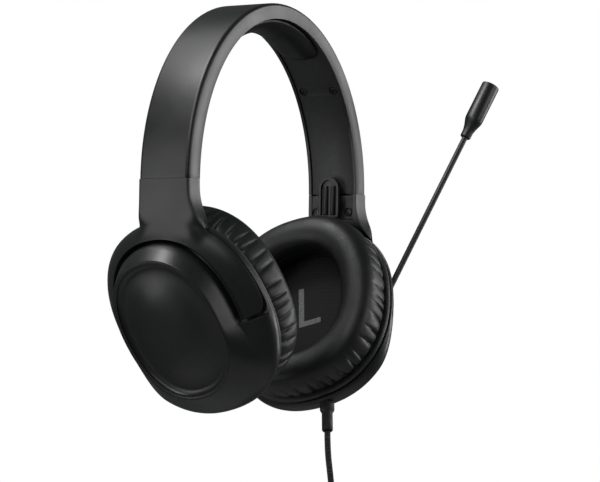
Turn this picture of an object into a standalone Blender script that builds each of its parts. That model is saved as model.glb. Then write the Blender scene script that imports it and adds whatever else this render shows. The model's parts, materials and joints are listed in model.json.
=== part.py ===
"""Gaming headset: an over-ear headset with sliding arms, tilting cups, a turning microphone boom
and a cord that ends in a 3.5 mm plug.

Metres, +Z up, +X to the wearer's left, -Y to the wearer's front.  The origin is the middle of the
underside of the headband pad, where the headset rests on a head.
"""
import math

import bmesh
import bpy
from mathutils import Matrix, Vector

# ---------------------------------------------------------------- headband
ARCH_HALF_WIDTH = 0.0775        # outer surface, from the middle to a leg
ARCH_HEIGHT = 0.0882            # crown down to the seams between the headband and the arms
BAND_WIDTH = 0.028              # front to rear
BAND_DEPTH_LEG = 0.0095         # thickness of the band at a seam
BAND_DEPTH_CROWN = 0.0075       # thickness of the band at the crown
BAND_EDGE = 0.0012              # rounding along the outer edges
BAND_WALL = 0.0016              # wall of the outer shell
COVER_THICKNESS = 0.0014        # inner cover that closes the shell
COVER_INSET = 0.0006            # the cover sits this far inside the shell's edges
PAD_THICKNESS = 0.0070
PAD_SPAN = 0.044                # middle of the pad to either end, along X
SPRING_THICKNESS = 0.0007
SPRING_WIDTH = 0.014
SPRING_SPAN = 0.058
WIRE_DIAMETER = 0.0016

# ---------------------------------------------------------------- sliding arms
ARM_LENGTH = 0.0205             # seam down to the top of the cup's rim, where the arm runs into its hood
ARM_TRAVEL = 0.020
STRIP_WIDTH = 0.014
STRIP_THICKNESS = 0.0010
STRIP_ABOVE_SEAM = 0.027
STRIP_BELOW_SEAM = 0.0095
GUIDE_WIDTH = 0.019
GUIDE_HEIGHT = 0.012
ARM_WALL = 0.0018
TONGUE_WIDTH = 0.0115           # round-topped cable guide on the inside of each arm
TONGUE_ABOVE_SEAM = 0.0085

# ---------------------------------------------------------------- ear cups
RIM_SETBACK = 0.00655           # outer face of an arm in to the top of its cup's rim
CUP_TILT = math.radians(25.0)   # lower edges of the cups lean towards each other
CUP_SLANT = math.radians(16.5)  # upper ends of the cups lean to the rear
RIM_HALF = (0.0444, 0.0475)     # half width and half height of a cup at its rim
FACE_HALF = (0.0287, 0.0353)    # the raised face
FACE_HEIGHT = 0.0199            # rim to the edge of the face
STEP_HALF = (0.0310, 0.0395)    # foot of the steep wall below the face
STEP_HEIGHT = 0.0114
OVAL_POWER = 2.25               # 2 is an ellipse, more is squarer
HOOD_START = math.radians(-9.0)
HOOD_END = math.radians(189.0)
HOOD_THICKNESS = 0.0026
HOOD_GAP = 0.0010               # between a hood and the recess that it lies in
BAFFLE_THICKNESS = 0.0025
CUSHION_DEPTH = 0.0174
CUSHION_FACE_WIDTH = 0.0065     # flat part of a cushion that meets the head
EAR_OPENING = (0.0262, 0.0300)  # half width and half height of the opening in a cushion

# ---------------------------------------------------------------- driver
DRIVER_RADIUS = 0.0225
MAGNET_RADIUS = 0.0120

# ---------------------------------------------------------------- microphone
HUB_PLACE = (-0.0115, -0.0120)  # on the left cup's face, forward and below its middle
HUB_RADIUS = 0.0086
HUB_HEIGHT = 0.0042
BOOM_DIAMETER = 0.0029
BOOM_LENGTH = 0.1260            # hub to the neck of the microphone
BOOM_REST = math.radians(14.2)  # forward of the cup's upward direction
MIC_DIAMETER = 0.0093
MIC_LENGTH = 0.0313

# ---------------------------------------------------------------- volume wheel
WHEEL_RADIUS = 0.0100
WHEEL_THICKNESS = 0.0026
WHEEL_PLACE = (0.0274, -0.0214)
WHEEL_LEVEL = 0.0042            # rim to the near side of the wheel

# ---------------------------------------------------------------- cord
CORD_DIAMETER = 0.0030
RELIEF_LENGTH = 0.0170
COIL_MIDDLE_RADIUS = 0.0180
COIL_HALF_WIDTH = 0.0072        # along the coil's axis
COIL_HALF_DEPTH = 0.0060        # across its turns
COIL_CENTRE = (0.0270, -0.0107, -0.2518)
CORD_DROP = [(0.0278, -0.0252, -0.2038), (0.0272, -0.0270, -0.2138), (0.0270, -0.0283, -0.2238),
             (0.0270, -0.0287, -0.2328)]  # the hanging cord, from below its strain relief to the coil

# ---------------------------------------------------------------- shared clearances
GAP = 0.0003                    # between pieces that touch
SEAM_GAP = 0.0004               # between the band and the arms
RUN_GAP = 0.0005                # around pieces that move or pass through a hole

# ---------------------------------------------------------------- worked out from the sizes above
CROWN_TOP = BAND_DEPTH_CROWN - COVER_INSET + GAP + PAD_THICKNESS
SEAM_Z = CROWN_TOP - ARCH_HEIGHT
ARM_INNER_X = ARCH_HALF_WIDTH - BAND_DEPTH_LEG
ARM_FOOT_Z = SEAM_Z - ARM_LENGTH
RIM_TOP_REACH = RIM_HALF[1] * math.cos(CUP_SLANT)  # centre of the rim to its top, up the tilted cup
CUP_Z = ARM_FOOT_Z - RIM_TOP_REACH * math.cos(CUP_TILT)
CUP_X = ARCH_HALF_WIDTH - RIM_SETBACK - RIM_TOP_REACH * math.sin(CUP_TILT)
STRIP_X = ARM_INNER_X + COVER_INSET + COVER_THICKNESS + RUN_GAP
BAFFLE_TOP = -GAP
BAFFLE_UNDER = BAFFLE_TOP - BAFFLE_THICKNESS
PLATE_TOP = BAFFLE_UNDER - GAP
PLATE_UNDER = PLATE_TOP - 0.0012
CUSHION_TOP = PLATE_UNDER - GAP
CUSHION_UNDER = CUSHION_TOP - CUSHION_DEPTH
HUB_LEVEL = FACE_HEIGHT + 0.0030  # underside of the turning hub
BOOM_LEVEL = HUB_LEVEL + HUB_HEIGHT / 2
SIDES = {"right": -1, "left": 1}

# ---------------------------------------------------------------- a clean scene
for item in list(bpy.data.objects):
    bpy.data.objects.remove(item, do_unlink=True)
parts = bpy.data.collections.new("gaming_headset")
cutters = bpy.data.collections.new("gaming_headset_cutters")
bpy.context.scene.collection.children.link(parts)
bpy.context.scene.collection.children.link(cutters)


def material(name, colour, roughness, metallic=0.0):
    """A plain Principled material, made once for each finish."""
    made = bpy.data.materials.get(name)
    if made is None:
        made = bpy.data.materials.new(name)
        made.use_nodes = True
        shader = made.node_tree.nodes["Principled BSDF"]
        shader.inputs["Base Color"].default_value = (*colour, 1.0)
        shader.inputs["Roughness"].default_value = roughness
        shader.inputs["Metallic"].default_value = metallic
    return made


SATIN = ("satin_black", (0.020, 0.021, 0.021), 0.42)
MATT = ("matt_black", (0.016, 0.017, 0.017), 0.62)
LEATHER = ("leatherette", (0.018, 0.018, 0.018), 0.55)
CLOTH = ("speaker_cloth", (0.010, 0.010, 0.010), 0.95)
STEEL = ("spring_steel", (0.42, 0.42, 0.43), 0.32, 1.0)
SCREW = ("black_screw", (0.05, 0.05, 0.05), 0.40, 1.0)
RUBBER = ("soft_rubber", (0.014, 0.014, 0.014), 0.75)
BRAID = ("braided_cord", (0.018, 0.018, 0.018), 0.85)
BOARD = ("circuit_green", (0.03, 0.12, 0.06), 0.50)
MAGNET = ("magnet", (0.30, 0.30, 0.31), 0.35, 1.0)
FILM = ("driver_film", (0.35, 0.33, 0.28), 0.30)
GOLD = ("plug_contact", (0.80, 0.62, 0.28), 0.25, 1.0)


# ---------------------------------------------------------------- frames and bodies
def cup_frame(side):
    """From a cup's own axes (u to the rear, v up its face, n out of its face) to the world."""
    outward = Vector((math.cos(CUP_TILT), 0.0, -math.sin(CUP_TILT)))
    upward = Vector((math.sin(CUP_TILT), 0.0, math.cos(CUP_TILT)))
    rearward = Vector((0.0, 1.0, 0.0))
    u_axis = rearward * math.cos(CUP_SLANT) - upward * math.sin(CUP_SLANT)
    v_axis = rearward * math.sin(CUP_SLANT) + upward * math.cos(CUP_SLANT)
    frame = Matrix.Identity(4)
    for column, axis in enumerate((u_axis, v_axis, outward)):
        frame.col[column] = (side * axis.x, axis.y, axis.z, 0.0)
    frame.col[3] = (side * CUP_X, 0.0, CUP_Z, 1.0)
    return frame


def axis_frame(origin, direction):
    """A frame whose Z runs along a direction, for turned pieces."""
    turn = Vector(direction).to_track_quat("Z", "Y").to_matrix().to_4x4()
    return Matrix.Translation(origin) @ turn


def cup_axis(side, place, level):
    """A frame on a cup whose Z runs out of the cup's face."""
    frame = cup_frame(side)
    direction = frame.to_3x3() @ Vector((0.0, 0.0, 1.0))
    return axis_frame(frame @ Vector((place[0], place[1], level)), direction)


def body(name, where):
    """An empty on the joint's axis, which a moving body's pieces hang from."""
    empty = bpy.data.objects.new(name + "_axis", None)
    empty.location = where
    empty.empty_display_size = 0.01
    parts.objects.link(empty)
    return empty


LEFT_FRAME = cup_frame(1)
PIVOT_LEVEL = 0.0040
bpy.context.view_layer.update()
BODIES = {"headband": body("headband", (0.0, 0.0, 0.0))}
for side_name, sign in SIDES.items():
    BODIES[side_name + "_arm"] = body(side_name + "_arm", (sign * STRIP_X, 0.0, SEAM_Z))
    BODIES[side_name + "_cup"] = body(side_name + "_cup", cup_frame(sign) @ Vector((0, 0, PIVOT_LEVEL)))
BODIES["mic_boom"] = body("mic_boom", LEFT_FRAME @ Vector((*HUB_PLACE, HUB_LEVEL)))
BODIES["volume_wheel"] = body("volume_wheel", LEFT_FRAME @ Vector((*WHEEL_PLACE, WHEEL_LEVEL)))
bpy.context.view_layer.update()


# ---------------------------------------------------------------- building blocks
def add(name, data, finish, owner, matrix=None):
    """Links an object, gives it its material and hangs it from its body."""
    item = bpy.data.objects.new(name, data)
    parts.objects.link(item)
    data.materials.clear()
    data.materials.append(material(*finish))
    item.parent = BODIES[owner]
    item.matrix_parent_inverse = BODIES[owner].matrix_world.inverted()
    item.matrix_basis = matrix or Matrix.Identity(4)
    if item.type == "MESH":
        data.shade_smooth()
        data.set_sharp_from_angle(angle=math.radians(35))
    return item


def mesh_of(shape, name, frame=None):
    """A mesh from a bmesh, moved into the world."""
    data = bpy.data.meshes.new(name)
    shape.to_mesh(data)
    shape.free()
    if frame is not None:
        data.transform(frame)
        if frame.determinant() < 0:
            data.flip_normals()
    return data


def oval(half, count=44, power=OVAL_POWER, start=0.0):
    """Points round a rounded oval, counter-clockwise seen from outside the cup."""
    points = []
    for step in range(count):
        angle = start + 2 * math.pi * step / count
        points.append(oval_point(half, angle, power))
    return points


def oval_point(half, angle, power=OVAL_POWER):
    across = math.copysign(abs(math.cos(angle)) ** (2 / power), math.cos(angle))
    upward = math.copysign(abs(math.sin(angle)) ** (2 / power), math.sin(angle))
    return half[0] * across, half[1] * upward


def grown(half, amount):
    return half[0] + amount, half[1] + amount


def loft(rings, ring_of_rings=False):
    """Skins sections that have equal numbers of points.  The first and last are capped, or joined."""
    shape = bmesh.new()
    rows = [[shape.verts.new(point) for point in ring] for ring in rings]
    count = len(rows[0])
    pairs = list(zip(rows, rows[1:]))
    if ring_of_rings:
        pairs.append((rows[-1], rows[0]))
    for low, high in pairs:
        for here in range(count):
            after = (here + 1) % count
            shape.faces.new((low[here], low[after], high[after], high[here]))
    if not ring_of_rings:
        shape.faces.new(list(reversed(rows[0])))
        shape.faces.new(rows[-1])
    bmesh.ops.recalc_face_normals(shape, faces=shape.faces)
    return shape


def turned(name, profile, frame, finish, owner, steps=24):
    """A turned piece: (radius, height) down its outer side, spun about the frame's Z."""
    data = bpy.data.meshes.new(name)
    on_axis = profile[0][0] == 0.0
    edges = [(here, here + 1) for here in range(len(profile) - 1)]
    if not on_axis:
        edges.append((len(profile) - 1, 0))
    data.from_pydata([(radius, 0.0, height) for radius, height in profile], edges, [])
    item = add(name, data, finish, owner, frame)
    spin = item.modifiers.new("turn", "SCREW")
    spin.angle = 2 * math.pi
    spin.steps = steps
    spin.render_steps = steps
    spin.use_merge_vertices = True
    spin.merge_threshold = 0.00001
    return item


def box(size, centre):
    """A box from a cube primitive."""
    shape = bmesh.new()
    bmesh.ops.create_cube(shape, size=1.0)
    bmesh.ops.scale(shape, vec=size, verts=shape.verts)
    bmesh.ops.translate(shape, vec=centre, verts=shape.verts)
    return shape


def round_bar(radius, bottom, top, centre=(0.0, 0.0), segments=20, top_radius=None):
    """A cylinder or cone along Z."""
    shape = bmesh.new()
    bmesh.ops.create_cone(shape, cap_ends=True, segments=segments, radius1=radius,
                          radius2=radius if top_radius is None else top_radius, depth=top - bottom)
    bmesh.ops.translate(shape, vec=(*centre, (bottom + top) / 2), verts=shape.verts)
    return shape


def joined(shapes):
    """Several shapes in one bmesh, for a cutter that cuts many places at once."""
    whole = bmesh.new()
    for shape in shapes:
        piece = bpy.data.meshes.new("piece")
        shape.to_mesh(piece)
        shape.free()
        whole.from_mesh(piece)
        bpy.data.meshes.remove(piece)
    return whole


def moved(shape, frame):
    bmesh.ops.transform(shape, matrix=frame, verts=shape.verts)
    return shape


def apply_boolean(item, shape, operation, frame=None):
    """Cuts or joins with a hidden tool body."""
    tool = bpy.data.objects.new(item.name + "_tool", mesh_of(shape, item.name + "_tool", frame))
    cutters.objects.link(tool)
    tool.hide_render = True
    tool.display_type = "WIRE"
    step = item.modifiers.new(operation.lower(), "BOOLEAN")
    step.operation = operation
    step.solver = "EXACT"
    step.object = tool


def tube(name, points, diameter, finish, owner):
    """A round wire or cord along a smooth run of points."""
    path = bpy.data.curves.new(name, "CURVE")
    path.dimensions = "3D"
    path.bevel_depth = diameter / 2
    path.bevel_resolution = 2
    path.use_fill_caps = True
    line = path.splines.new("POLY")
    line.points.add(len(points) - 1)
    for slot, point in zip(line.points, points):
        slot.co = (*point, 1.0)
    return add(name, path, finish, owner)


def smooth_run(route, count):
    """Evenly stepped points on a smooth curve through the points of a route."""
    line = [Vector(point) for point in route]
    line = [2 * line[0] - line[1]] + line + [2 * line[-1] - line[-2]]
    spans = len(line) - 3
    run = []
    for step in range(count):
        place = step * spans / (count - 1)
        first = min(int(place), spans - 1)
        t = place - first
        a, b, c, d = line[first:first + 4]
        run.append(0.5 * (2 * b + (c - a) * t + (2 * a - 5 * b + 4 * c - d) * t ** 2
                          + (3 * b - a - 3 * c + d) * t ** 3))
    return run


def screw_profile(head_radius, head_height, shank_radius, length, extra=0.0):
    """A pan-head screw, point down; extra grows it into its clearance hole."""
    return [(0.0, extra), (head_radius + extra, extra), (head_radius + extra, -head_height - extra),
            (shank_radius + extra, -head_height - extra), (shank_radius + extra, -length - extra),
            (0.0, -length - extra)]


def screw_solid(head_radius, head_height, shank_radius, length, extra=0.0, segments=12):
    """A pan-head screw as a lofted solid."""
    rings = []
    for radius, height in screw_profile(head_radius, head_height, shank_radius, length, extra)[1:-1]:
        turn = [2 * math.pi * step / segments for step in range(segments)]
        rings.append([(radius * math.cos(angle), radius * math.sin(angle), height) for angle in turn])
    return loft(rings)


# ---------------------------------------------------------------- headband
def arch_point(angle, depth=0.0, sideways=0.0):
    """A point on the arch: angle 0 at the left seam, 180 degrees at the right one."""
    surface = Vector((ARCH_HALF_WIDTH * math.cos(angle), 0.0, SEAM_Z + ARCH_HEIGHT * math.sin(angle)))
    normal = Vector((math.cos(angle) / ARCH_HALF_WIDTH, 0.0, math.sin(angle) / ARCH_HEIGHT)).normalized()
    return surface - normal * depth + Vector((0.0, sideways, 0.0))


def band_depth(angle):
    return BAND_DEPTH_LEG + (BAND_DEPTH_CROWN - BAND_DEPTH_LEG) * math.sin(angle) ** 2


def arch_loft(section, start, end, steps):
    """Carries a section of (depth, sideways) points along the arch."""
    rings = []
    for step in range(steps + 1):
        angle = start + (end - start) * step / steps
        rings.append([arch_point(angle, depth, side) for depth, side in section(angle)])
    return loft(rings)


def shell_section(angle):
    """A channel, open towards the head."""
    depth, half, wall = band_depth(angle), BAND_WIDTH / 2, BAND_WALL
    outside = [(depth, -half), (BAND_EDGE, -half), (0.0, BAND_EDGE - half),
               (0.0, half - BAND_EDGE), (BAND_EDGE, half), (depth, half)]
    inside = [(depth, half - wall), (wall, half - wall), (wall, wall - half), (depth, wall - half)]
    return outside + inside


def strip_section(near, thickness, width):
    """A flat strip, its far side at the given depth from the shell's inner edges."""
    def section(angle):
        low = band_depth(angle) - near
        return [(low - thickness, -width / 2), (low - thickness, width / 2), (low, width / 2), (low, -width / 2)]
    return section


def spring_section(angle):
    near = BAND_WALL + GAP
    half = SPRING_WIDTH / 2
    return [(near, -half), (near, half), (near + SPRING_THICKNESS, half), (near + SPRING_THICKNESS, -half)]


cover_width = BAND_WIDTH - 2 * (BAND_WALL + GAP)
add("headband_shell", mesh_of(arch_loft(shell_section, 0.0, math.pi, 40), "headband_shell"), SATIN, "headband")
cover = add("headband_inner_cover",
            mesh_of(arch_loft(strip_section(COVER_INSET, COVER_THICKNESS, cover_width), 0.0, math.pi, 36),
                    "headband_inner_cover"), MATT, "headband")
spring_end = math.acos(SPRING_SPAN / ARCH_HALF_WIDTH)
add("headband_spring", mesh_of(arch_loft(spring_section, spring_end, math.pi - spring_end, 20),
                               "headband_spring"), STEEL, "headband")

wire_depth = BAND_WALL + GAP + WIRE_DIAMETER
wire_side = BAND_WIDTH / 2 - BAND_WALL - RUN_GAP - WIRE_DIAMETER / 2
wire_ends = math.radians(3.0)
wire_run = [arch_point(wire_ends + (math.pi - 2 * wire_ends) * step / 40, wire_depth, wire_side)
            for step in range(41)]
tube("crossover_wire", wire_run, WIRE_DIAMETER, RUBBER, "headband")

# The pad: a soft strip with rounded sides and ends, below the inner cover.
pad_end = math.acos(PAD_SPAN / ARCH_HALF_WIDTH)
pad_width = BAND_WIDTH - 2 * BAND_WALL - 2 * GAP


def pad_section(angle):
    """Full in the middle of the span, thin and narrow at its rounded ends."""
    reach = abs(math.cos(angle)) * ARCH_HALF_WIDTH / PAD_SPAN
    fullness = math.sqrt(max(0.0, 1.0 - reach ** 6))
    top = band_depth(angle) - COVER_INSET + GAP
    thick = PAD_THICKNESS * (0.25 + 0.75 * fullness)
    half = pad_width / 2 * (0.72 + 0.28 * fullness)
    return [(top, -half * 0.92), (top, half * 0.92), (top + thick * 0.35, half), (top + thick * 0.75, half * 0.88),
            (top + thick, half * 0.55), (top + thick, -half * 0.55), (top + thick * 0.75, -half * 0.88),
            (top + thick * 0.35, -half)]


add("headband_pad", mesh_of(arch_loft(pad_section, pad_end, math.pi - pad_end, 24), "headband_pad"),
    LEATHER, "headband")

# Two screws in each leg hold the inner cover to the shell.
COVER_SCREW_SIDE = 0.0088
COVER_SCREW_ANGLE = math.radians(39.0)


def cover_screw(angle, sideways, extra=0.0):
    low = arch_point(angle, band_depth(angle) - COVER_INSET - GAP, sideways)
    outward = (arch_point(angle) - arch_point(angle, BAND_DEPTH_LEG)).normalized()
    shape = screw_solid(0.0019, COVER_THICKNESS - 2 * GAP, 0.0009, 0.0042, extra)
    return moved(shape, axis_frame(low, -outward))


for leg, leg_angle in (("left", COVER_SCREW_ANGLE), ("right", math.pi - COVER_SCREW_ANGLE)):
    for place, sideways in (("front", -COVER_SCREW_SIDE), ("rear", COVER_SCREW_SIDE)):
        screw_name = f"{leg}_cover_screw_{place}"
        add(screw_name, mesh_of(cover_screw(leg_angle, sideways), screw_name), SCREW, "headband")
        apply_boolean(cover, cover_screw(leg_angle, sideways, GAP), "DIFFERENCE")

# A guide in each leg holds the sliding strip at its edges.
for side_name, sign in SIDES.items():
    guide_depth = 0.0030
    guide_low = SEAM_Z + RUN_GAP
    guide = add(side_name + "_slide_guide", mesh_of(
        box((guide_depth, GUIDE_WIDTH, GUIDE_HEIGHT),
            (sign * (STRIP_X + guide_depth / 2), 0.0, guide_low + GUIDE_HEIGHT / 2)), "guide"), MATT, "headband")
    slot = (2 * (STRIP_THICKNESS + GAP), STRIP_WIDTH + 2 * GAP, 2 * GUIDE_HEIGHT)
    apply_boolean(guide, box(slot, (sign * STRIP_X, 0.0, guide_low + GUIDE_HEIGHT / 2)), "DIFFERENCE")

# ---------------------------------------------------------------- ear cups, from the rim outwards
# The flank's outline, as shares of its height and of the way in from the rim to the step.
FLANK_OUTLINE = [(0.0, 0.0), (0.167, 0.01), (0.298, 0.05), (0.439, 0.14), (0.632, 0.36), (0.825, 0.66), (1.0, 1.0)]


def between(start, end, share):
    return tuple(a + (b - a) * share for a, b in zip(start, end))


# Each row is a level above the rim and the half sizes there.
FLANK = [(STEP_HEIGHT * up, between(RIM_HALF, STEP_HALF, inward)) for up, inward in FLANK_OUTLINE]
RIM_LIP = FLANK[1][0]


def flank_at(level):
    """Half sizes of the cup's outside at a level between the rim and the step."""
    for (low, small), (high, large) in zip(FLANK, FLANK[1:]):
        if level <= high:
            return between(small, large, (level - low) / (high - low))
    return STEP_HALF


def cup_shell_shape():
    """The housing: a ring with a recess for the hood round its upper part."""
    margin = math.radians(2.2)
    start, end = HOOD_START - margin, HOOD_END + margin
    wall = math.radians(0.7)
    inside_steps, outside_steps = 26, 18
    columns = [(start + wall + (end - start - 2 * wall) * step / inside_steps, True)
               for step in range(inside_steps + 1)]
    rest = 2 * math.pi - (end - start)
    columns += [(end + rest * step / outside_steps, False) for step in range(outside_steps + 1)]
    sink = HOOD_THICKNESS + HOOD_GAP
    plain = FLANK[:6] + [(STEP_HEIGHT - 0.0010, flank_at(STEP_HEIGHT - 0.0010)), FLANK[6]]
    low_wall = grown(STEP_HALF, 0.0001)
    sunk = [FLANK[0], FLANK[1], (RIM_LIP + 0.0001, grown(flank_at(RIM_LIP), -sink)),
            (0.0022, grown(flank_at(0.0050), -0.0029)), (0.0041, grown(flank_at(0.0072), -0.0031)),
            (0.0063, grown(flank_at(0.0094), -0.0030)), (0.0076, low_wall), FLANK[6]]
    top = [(FACE_HEIGHT, FACE_HALF), (FACE_HEIGHT, grown(FACE_HALF, -0.0018))]
    mouth = (RIM_HALF[0] - 0.0058, RIM_HALF[1] - 0.0039)
    inner = [(0.0082, grown(STEP_HALF, -0.0020)), (0.0050, grown(STEP_HALF, 0.0009)),
             (0.0030, grown(mouth, -0.0022)), (0.0, mouth)]
    rings = []
    for row in range(len(plain)):
        ring = []
        for angle, in_recess in columns:
            level, half = (sunk if in_recess else plain)[row]
            ring.append((*oval_point(half, angle), level))
        rings.append(ring)
    for level, half in top + inner:
        rings.append([(*oval_point(half, angle), level) for angle, _ in columns])
    return loft(rings, ring_of_rings=True)


def oval_rows(rows, count=44):
    return [[(*point, level) for point in oval(half, count)] for level, half in rows]


def make_cup(side_name):
    sign = SIDES[side_name]
    frame = cup_frame(sign)
    owner = side_name + "_cup"

    shell = add(owner + "_shell", mesh_of(cup_shell_shape(), "shell", frame), SATIN, owner)
    for direction in (-1, 1):
        apply_boolean(shell, pivot_bar(direction, GAP), "DIFFERENCE", frame)

    plug_half = grown(FACE_HALF, -0.0018 - GAP)
    lip_half = grown(FACE_HALF, -GAP)
    dish_rows = ((0.0006, -0.0006), (0.0006, -0.0014), (-0.0008, -0.0038), (-0.0012, -0.0060),
                 (-0.0007, -0.0130), (0.0001, -0.0240))  # rise above the rim of the face, and growth from its lip
    cap_rows = [(FACE_HEIGHT - 0.0030, plug_half), (FACE_HEIGHT + GAP, plug_half), (FACE_HEIGHT + GAP, lip_half)]
    cap_rows += [(FACE_HEIGHT + rise, grown(lip_half, growth)) for rise, growth in dish_rows]
    cap = add(owner + "_cap", mesh_of(loft(oval_rows(cap_rows)), "cap", frame), SATIN, owner)

    baffle_half = grown(RIM_HALF, -0.0011)
    hole = (DRIVER_RADIUS - 0.0030, DRIVER_RADIUS - 0.0030)
    outer = oval(baffle_half)
    inner = oval(hole, power=2.0)
    rings = [[(*point, BAFFLE_TOP) for point in outer], [(*point, BAFFLE_UNDER) for point in outer],
             [(*point, BAFFLE_UNDER) for point in inner], [(*point, BAFFLE_TOP) for point in inner]]
    add(side_name + "_baffle", mesh_of(loft(rings, ring_of_rings=True), "baffle", frame), MATT, owner)

    plate_outer, plate_inner = grown(RIM_HALF, -0.0030), grown(EAR_OPENING, 0.0018)
    add(side_name + "_cushion_plate", mesh_of(loft(oval_rows([
        (PLATE_TOP, plate_outer), (PLATE_UNDER, plate_outer), (PLATE_UNDER, plate_inner),
        (PLATE_TOP, plate_inner)]), ring_of_rings=True), "plate", frame), MATT, owner)
    cloth_half = grown(plate_inner, -GAP)
    add(side_name + "_speaker_cloth", mesh_of(loft(oval_rows([
        (PLATE_TOP - 0.0005, cloth_half), (PLATE_TOP, cloth_half)])), "cloth", frame), CLOTH, owner)
    make_cushion(side_name, frame, owner)
    make_driver(side_name, sign, owner)
    return shell, cap


def make_cushion(side_name, frame, owner):
    """A soft ring round the ear, with a flat face towards the head."""
    widest = grown(RIM_HALF, 0.0002)
    face_out = grown(EAR_OPENING, 0.0045 + CUSHION_FACE_WIDTH)
    face_in = grown(EAR_OPENING, 0.0045)
    rows = [(0.0, grown(widest, -0.0024)), (0.22, grown(widest, -0.0006)), (0.52, widest),
            (0.82, grown(widest, -0.0022)), (1.0, face_out), (1.0, face_in), (0.86, grown(EAR_OPENING, 0.0016)),
            (0.58, EAR_OPENING), (0.25, grown(EAR_OPENING, 0.0006)), (0.0, grown(EAR_OPENING, 0.0016))]
    levels = [(CUSHION_TOP - share * CUSHION_DEPTH, half) for share, half in rows]
    add(side_name + "_ear_cushion", mesh_of(loft(oval_rows(levels, 40), ring_of_rings=True), "cushion", frame),
        LEATHER, owner)


def make_driver(side_name, sign, owner):
    """Frame, film and magnet of the loudspeaker, behind the baffle."""
    outward = cup_axis(sign, (0.0, 0.0), BAFFLE_TOP + GAP)
    rim, seat = DRIVER_RADIUS, DRIVER_RADIUS - 0.0040
    frame_profile = [(MAGNET_RADIUS + 0.0030, 0.0050), (rim, 0.0026), (rim, 0.0), (seat, 0.0),
                     (seat, 0.0020), (MAGNET_RADIUS + 0.0030, 0.0036)]
    turned(side_name + "_driver_frame", frame_profile, outward, MATT, owner, 32)
    film_radius = seat - GAP
    film = [(0.0, 0.0016), (0.0050, 0.0013), (film_radius, 0.0005), (film_radius, 0.0001),
            (0.0050, 0.0009), (0.0, 0.0012)]
    turned(side_name + "_driver_film", film, outward, FILM, owner, 32)
    magnet = [(0.0, 0.0090), (MAGNET_RADIUS, 0.0090), (MAGNET_RADIUS, 0.0036), (0.0040, 0.0036),
              (0.0040, 0.0024), (0.0, 0.0024)]
    turned(side_name + "_driver_magnet", magnet, outward, MAGNET, owner, 32)


# ---------------------------------------------------------------- yokes: arm and hood in one moulding
PIVOT_RADIUS = 0.0010
PIVOT_LENGTH = 0.0046
PIVOT_COVER = 0.0006            # hood left over the outer end of a pivot pin
HOOD_FOOT_SLOPE = 0.20          # rise of the hood's foot below its pivots, which lets the cup tilt


def pivot_bar(direction, extra=0.0):
    """A pin at one end of the hood, on the line that the cup tilts about."""
    outer_end = flank_at(PIVOT_LEVEL + PIVOT_RADIUS + GAP)[0] - PIVOT_COVER - GAP
    bar = round_bar(PIVOT_RADIUS + extra, -PIVOT_LENGTH - extra, extra, segments=14)
    return moved(bar, axis_frame((direction * outer_end, 0.0, PIVOT_LEVEL), (direction, 0.0, 0.0)))


ARM_COLUMNS = 4
ARM_REAR_ANGLE = math.radians(88.0)
ARM_FRONT_ANGLE = math.radians(127.0)


def hood_corners(angle):
    """Section of the hood: outside at the rim, outside at the face, then back along the inside."""
    below_pivots = max(0.0, -oval_point(RIM_HALF, angle)[1])
    low, high = RIM_LIP + GAP + below_pivots * HOOD_FOOT_SLOPE, STEP_HEIGHT - 0.0012
    low_half, high_half = flank_at(low), flank_at(high)
    mid = (low + high) / 2
    mid_half = flank_at(mid)
    inward = HOOD_THICKNESS
    return [(*oval_point(low_half, angle), low), (*oval_point(mid_half, angle), mid),
            (*oval_point(high_half, angle), high),
            (*oval_point(grown(high_half, -inward * 0.32), angle), high - inward * 0.85),
            (*oval_point(grown(mid_half, -inward * 0.75), angle), mid - inward * 0.65),
            (*oval_point(grown(low_half, -inward), angle), low)]


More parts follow.
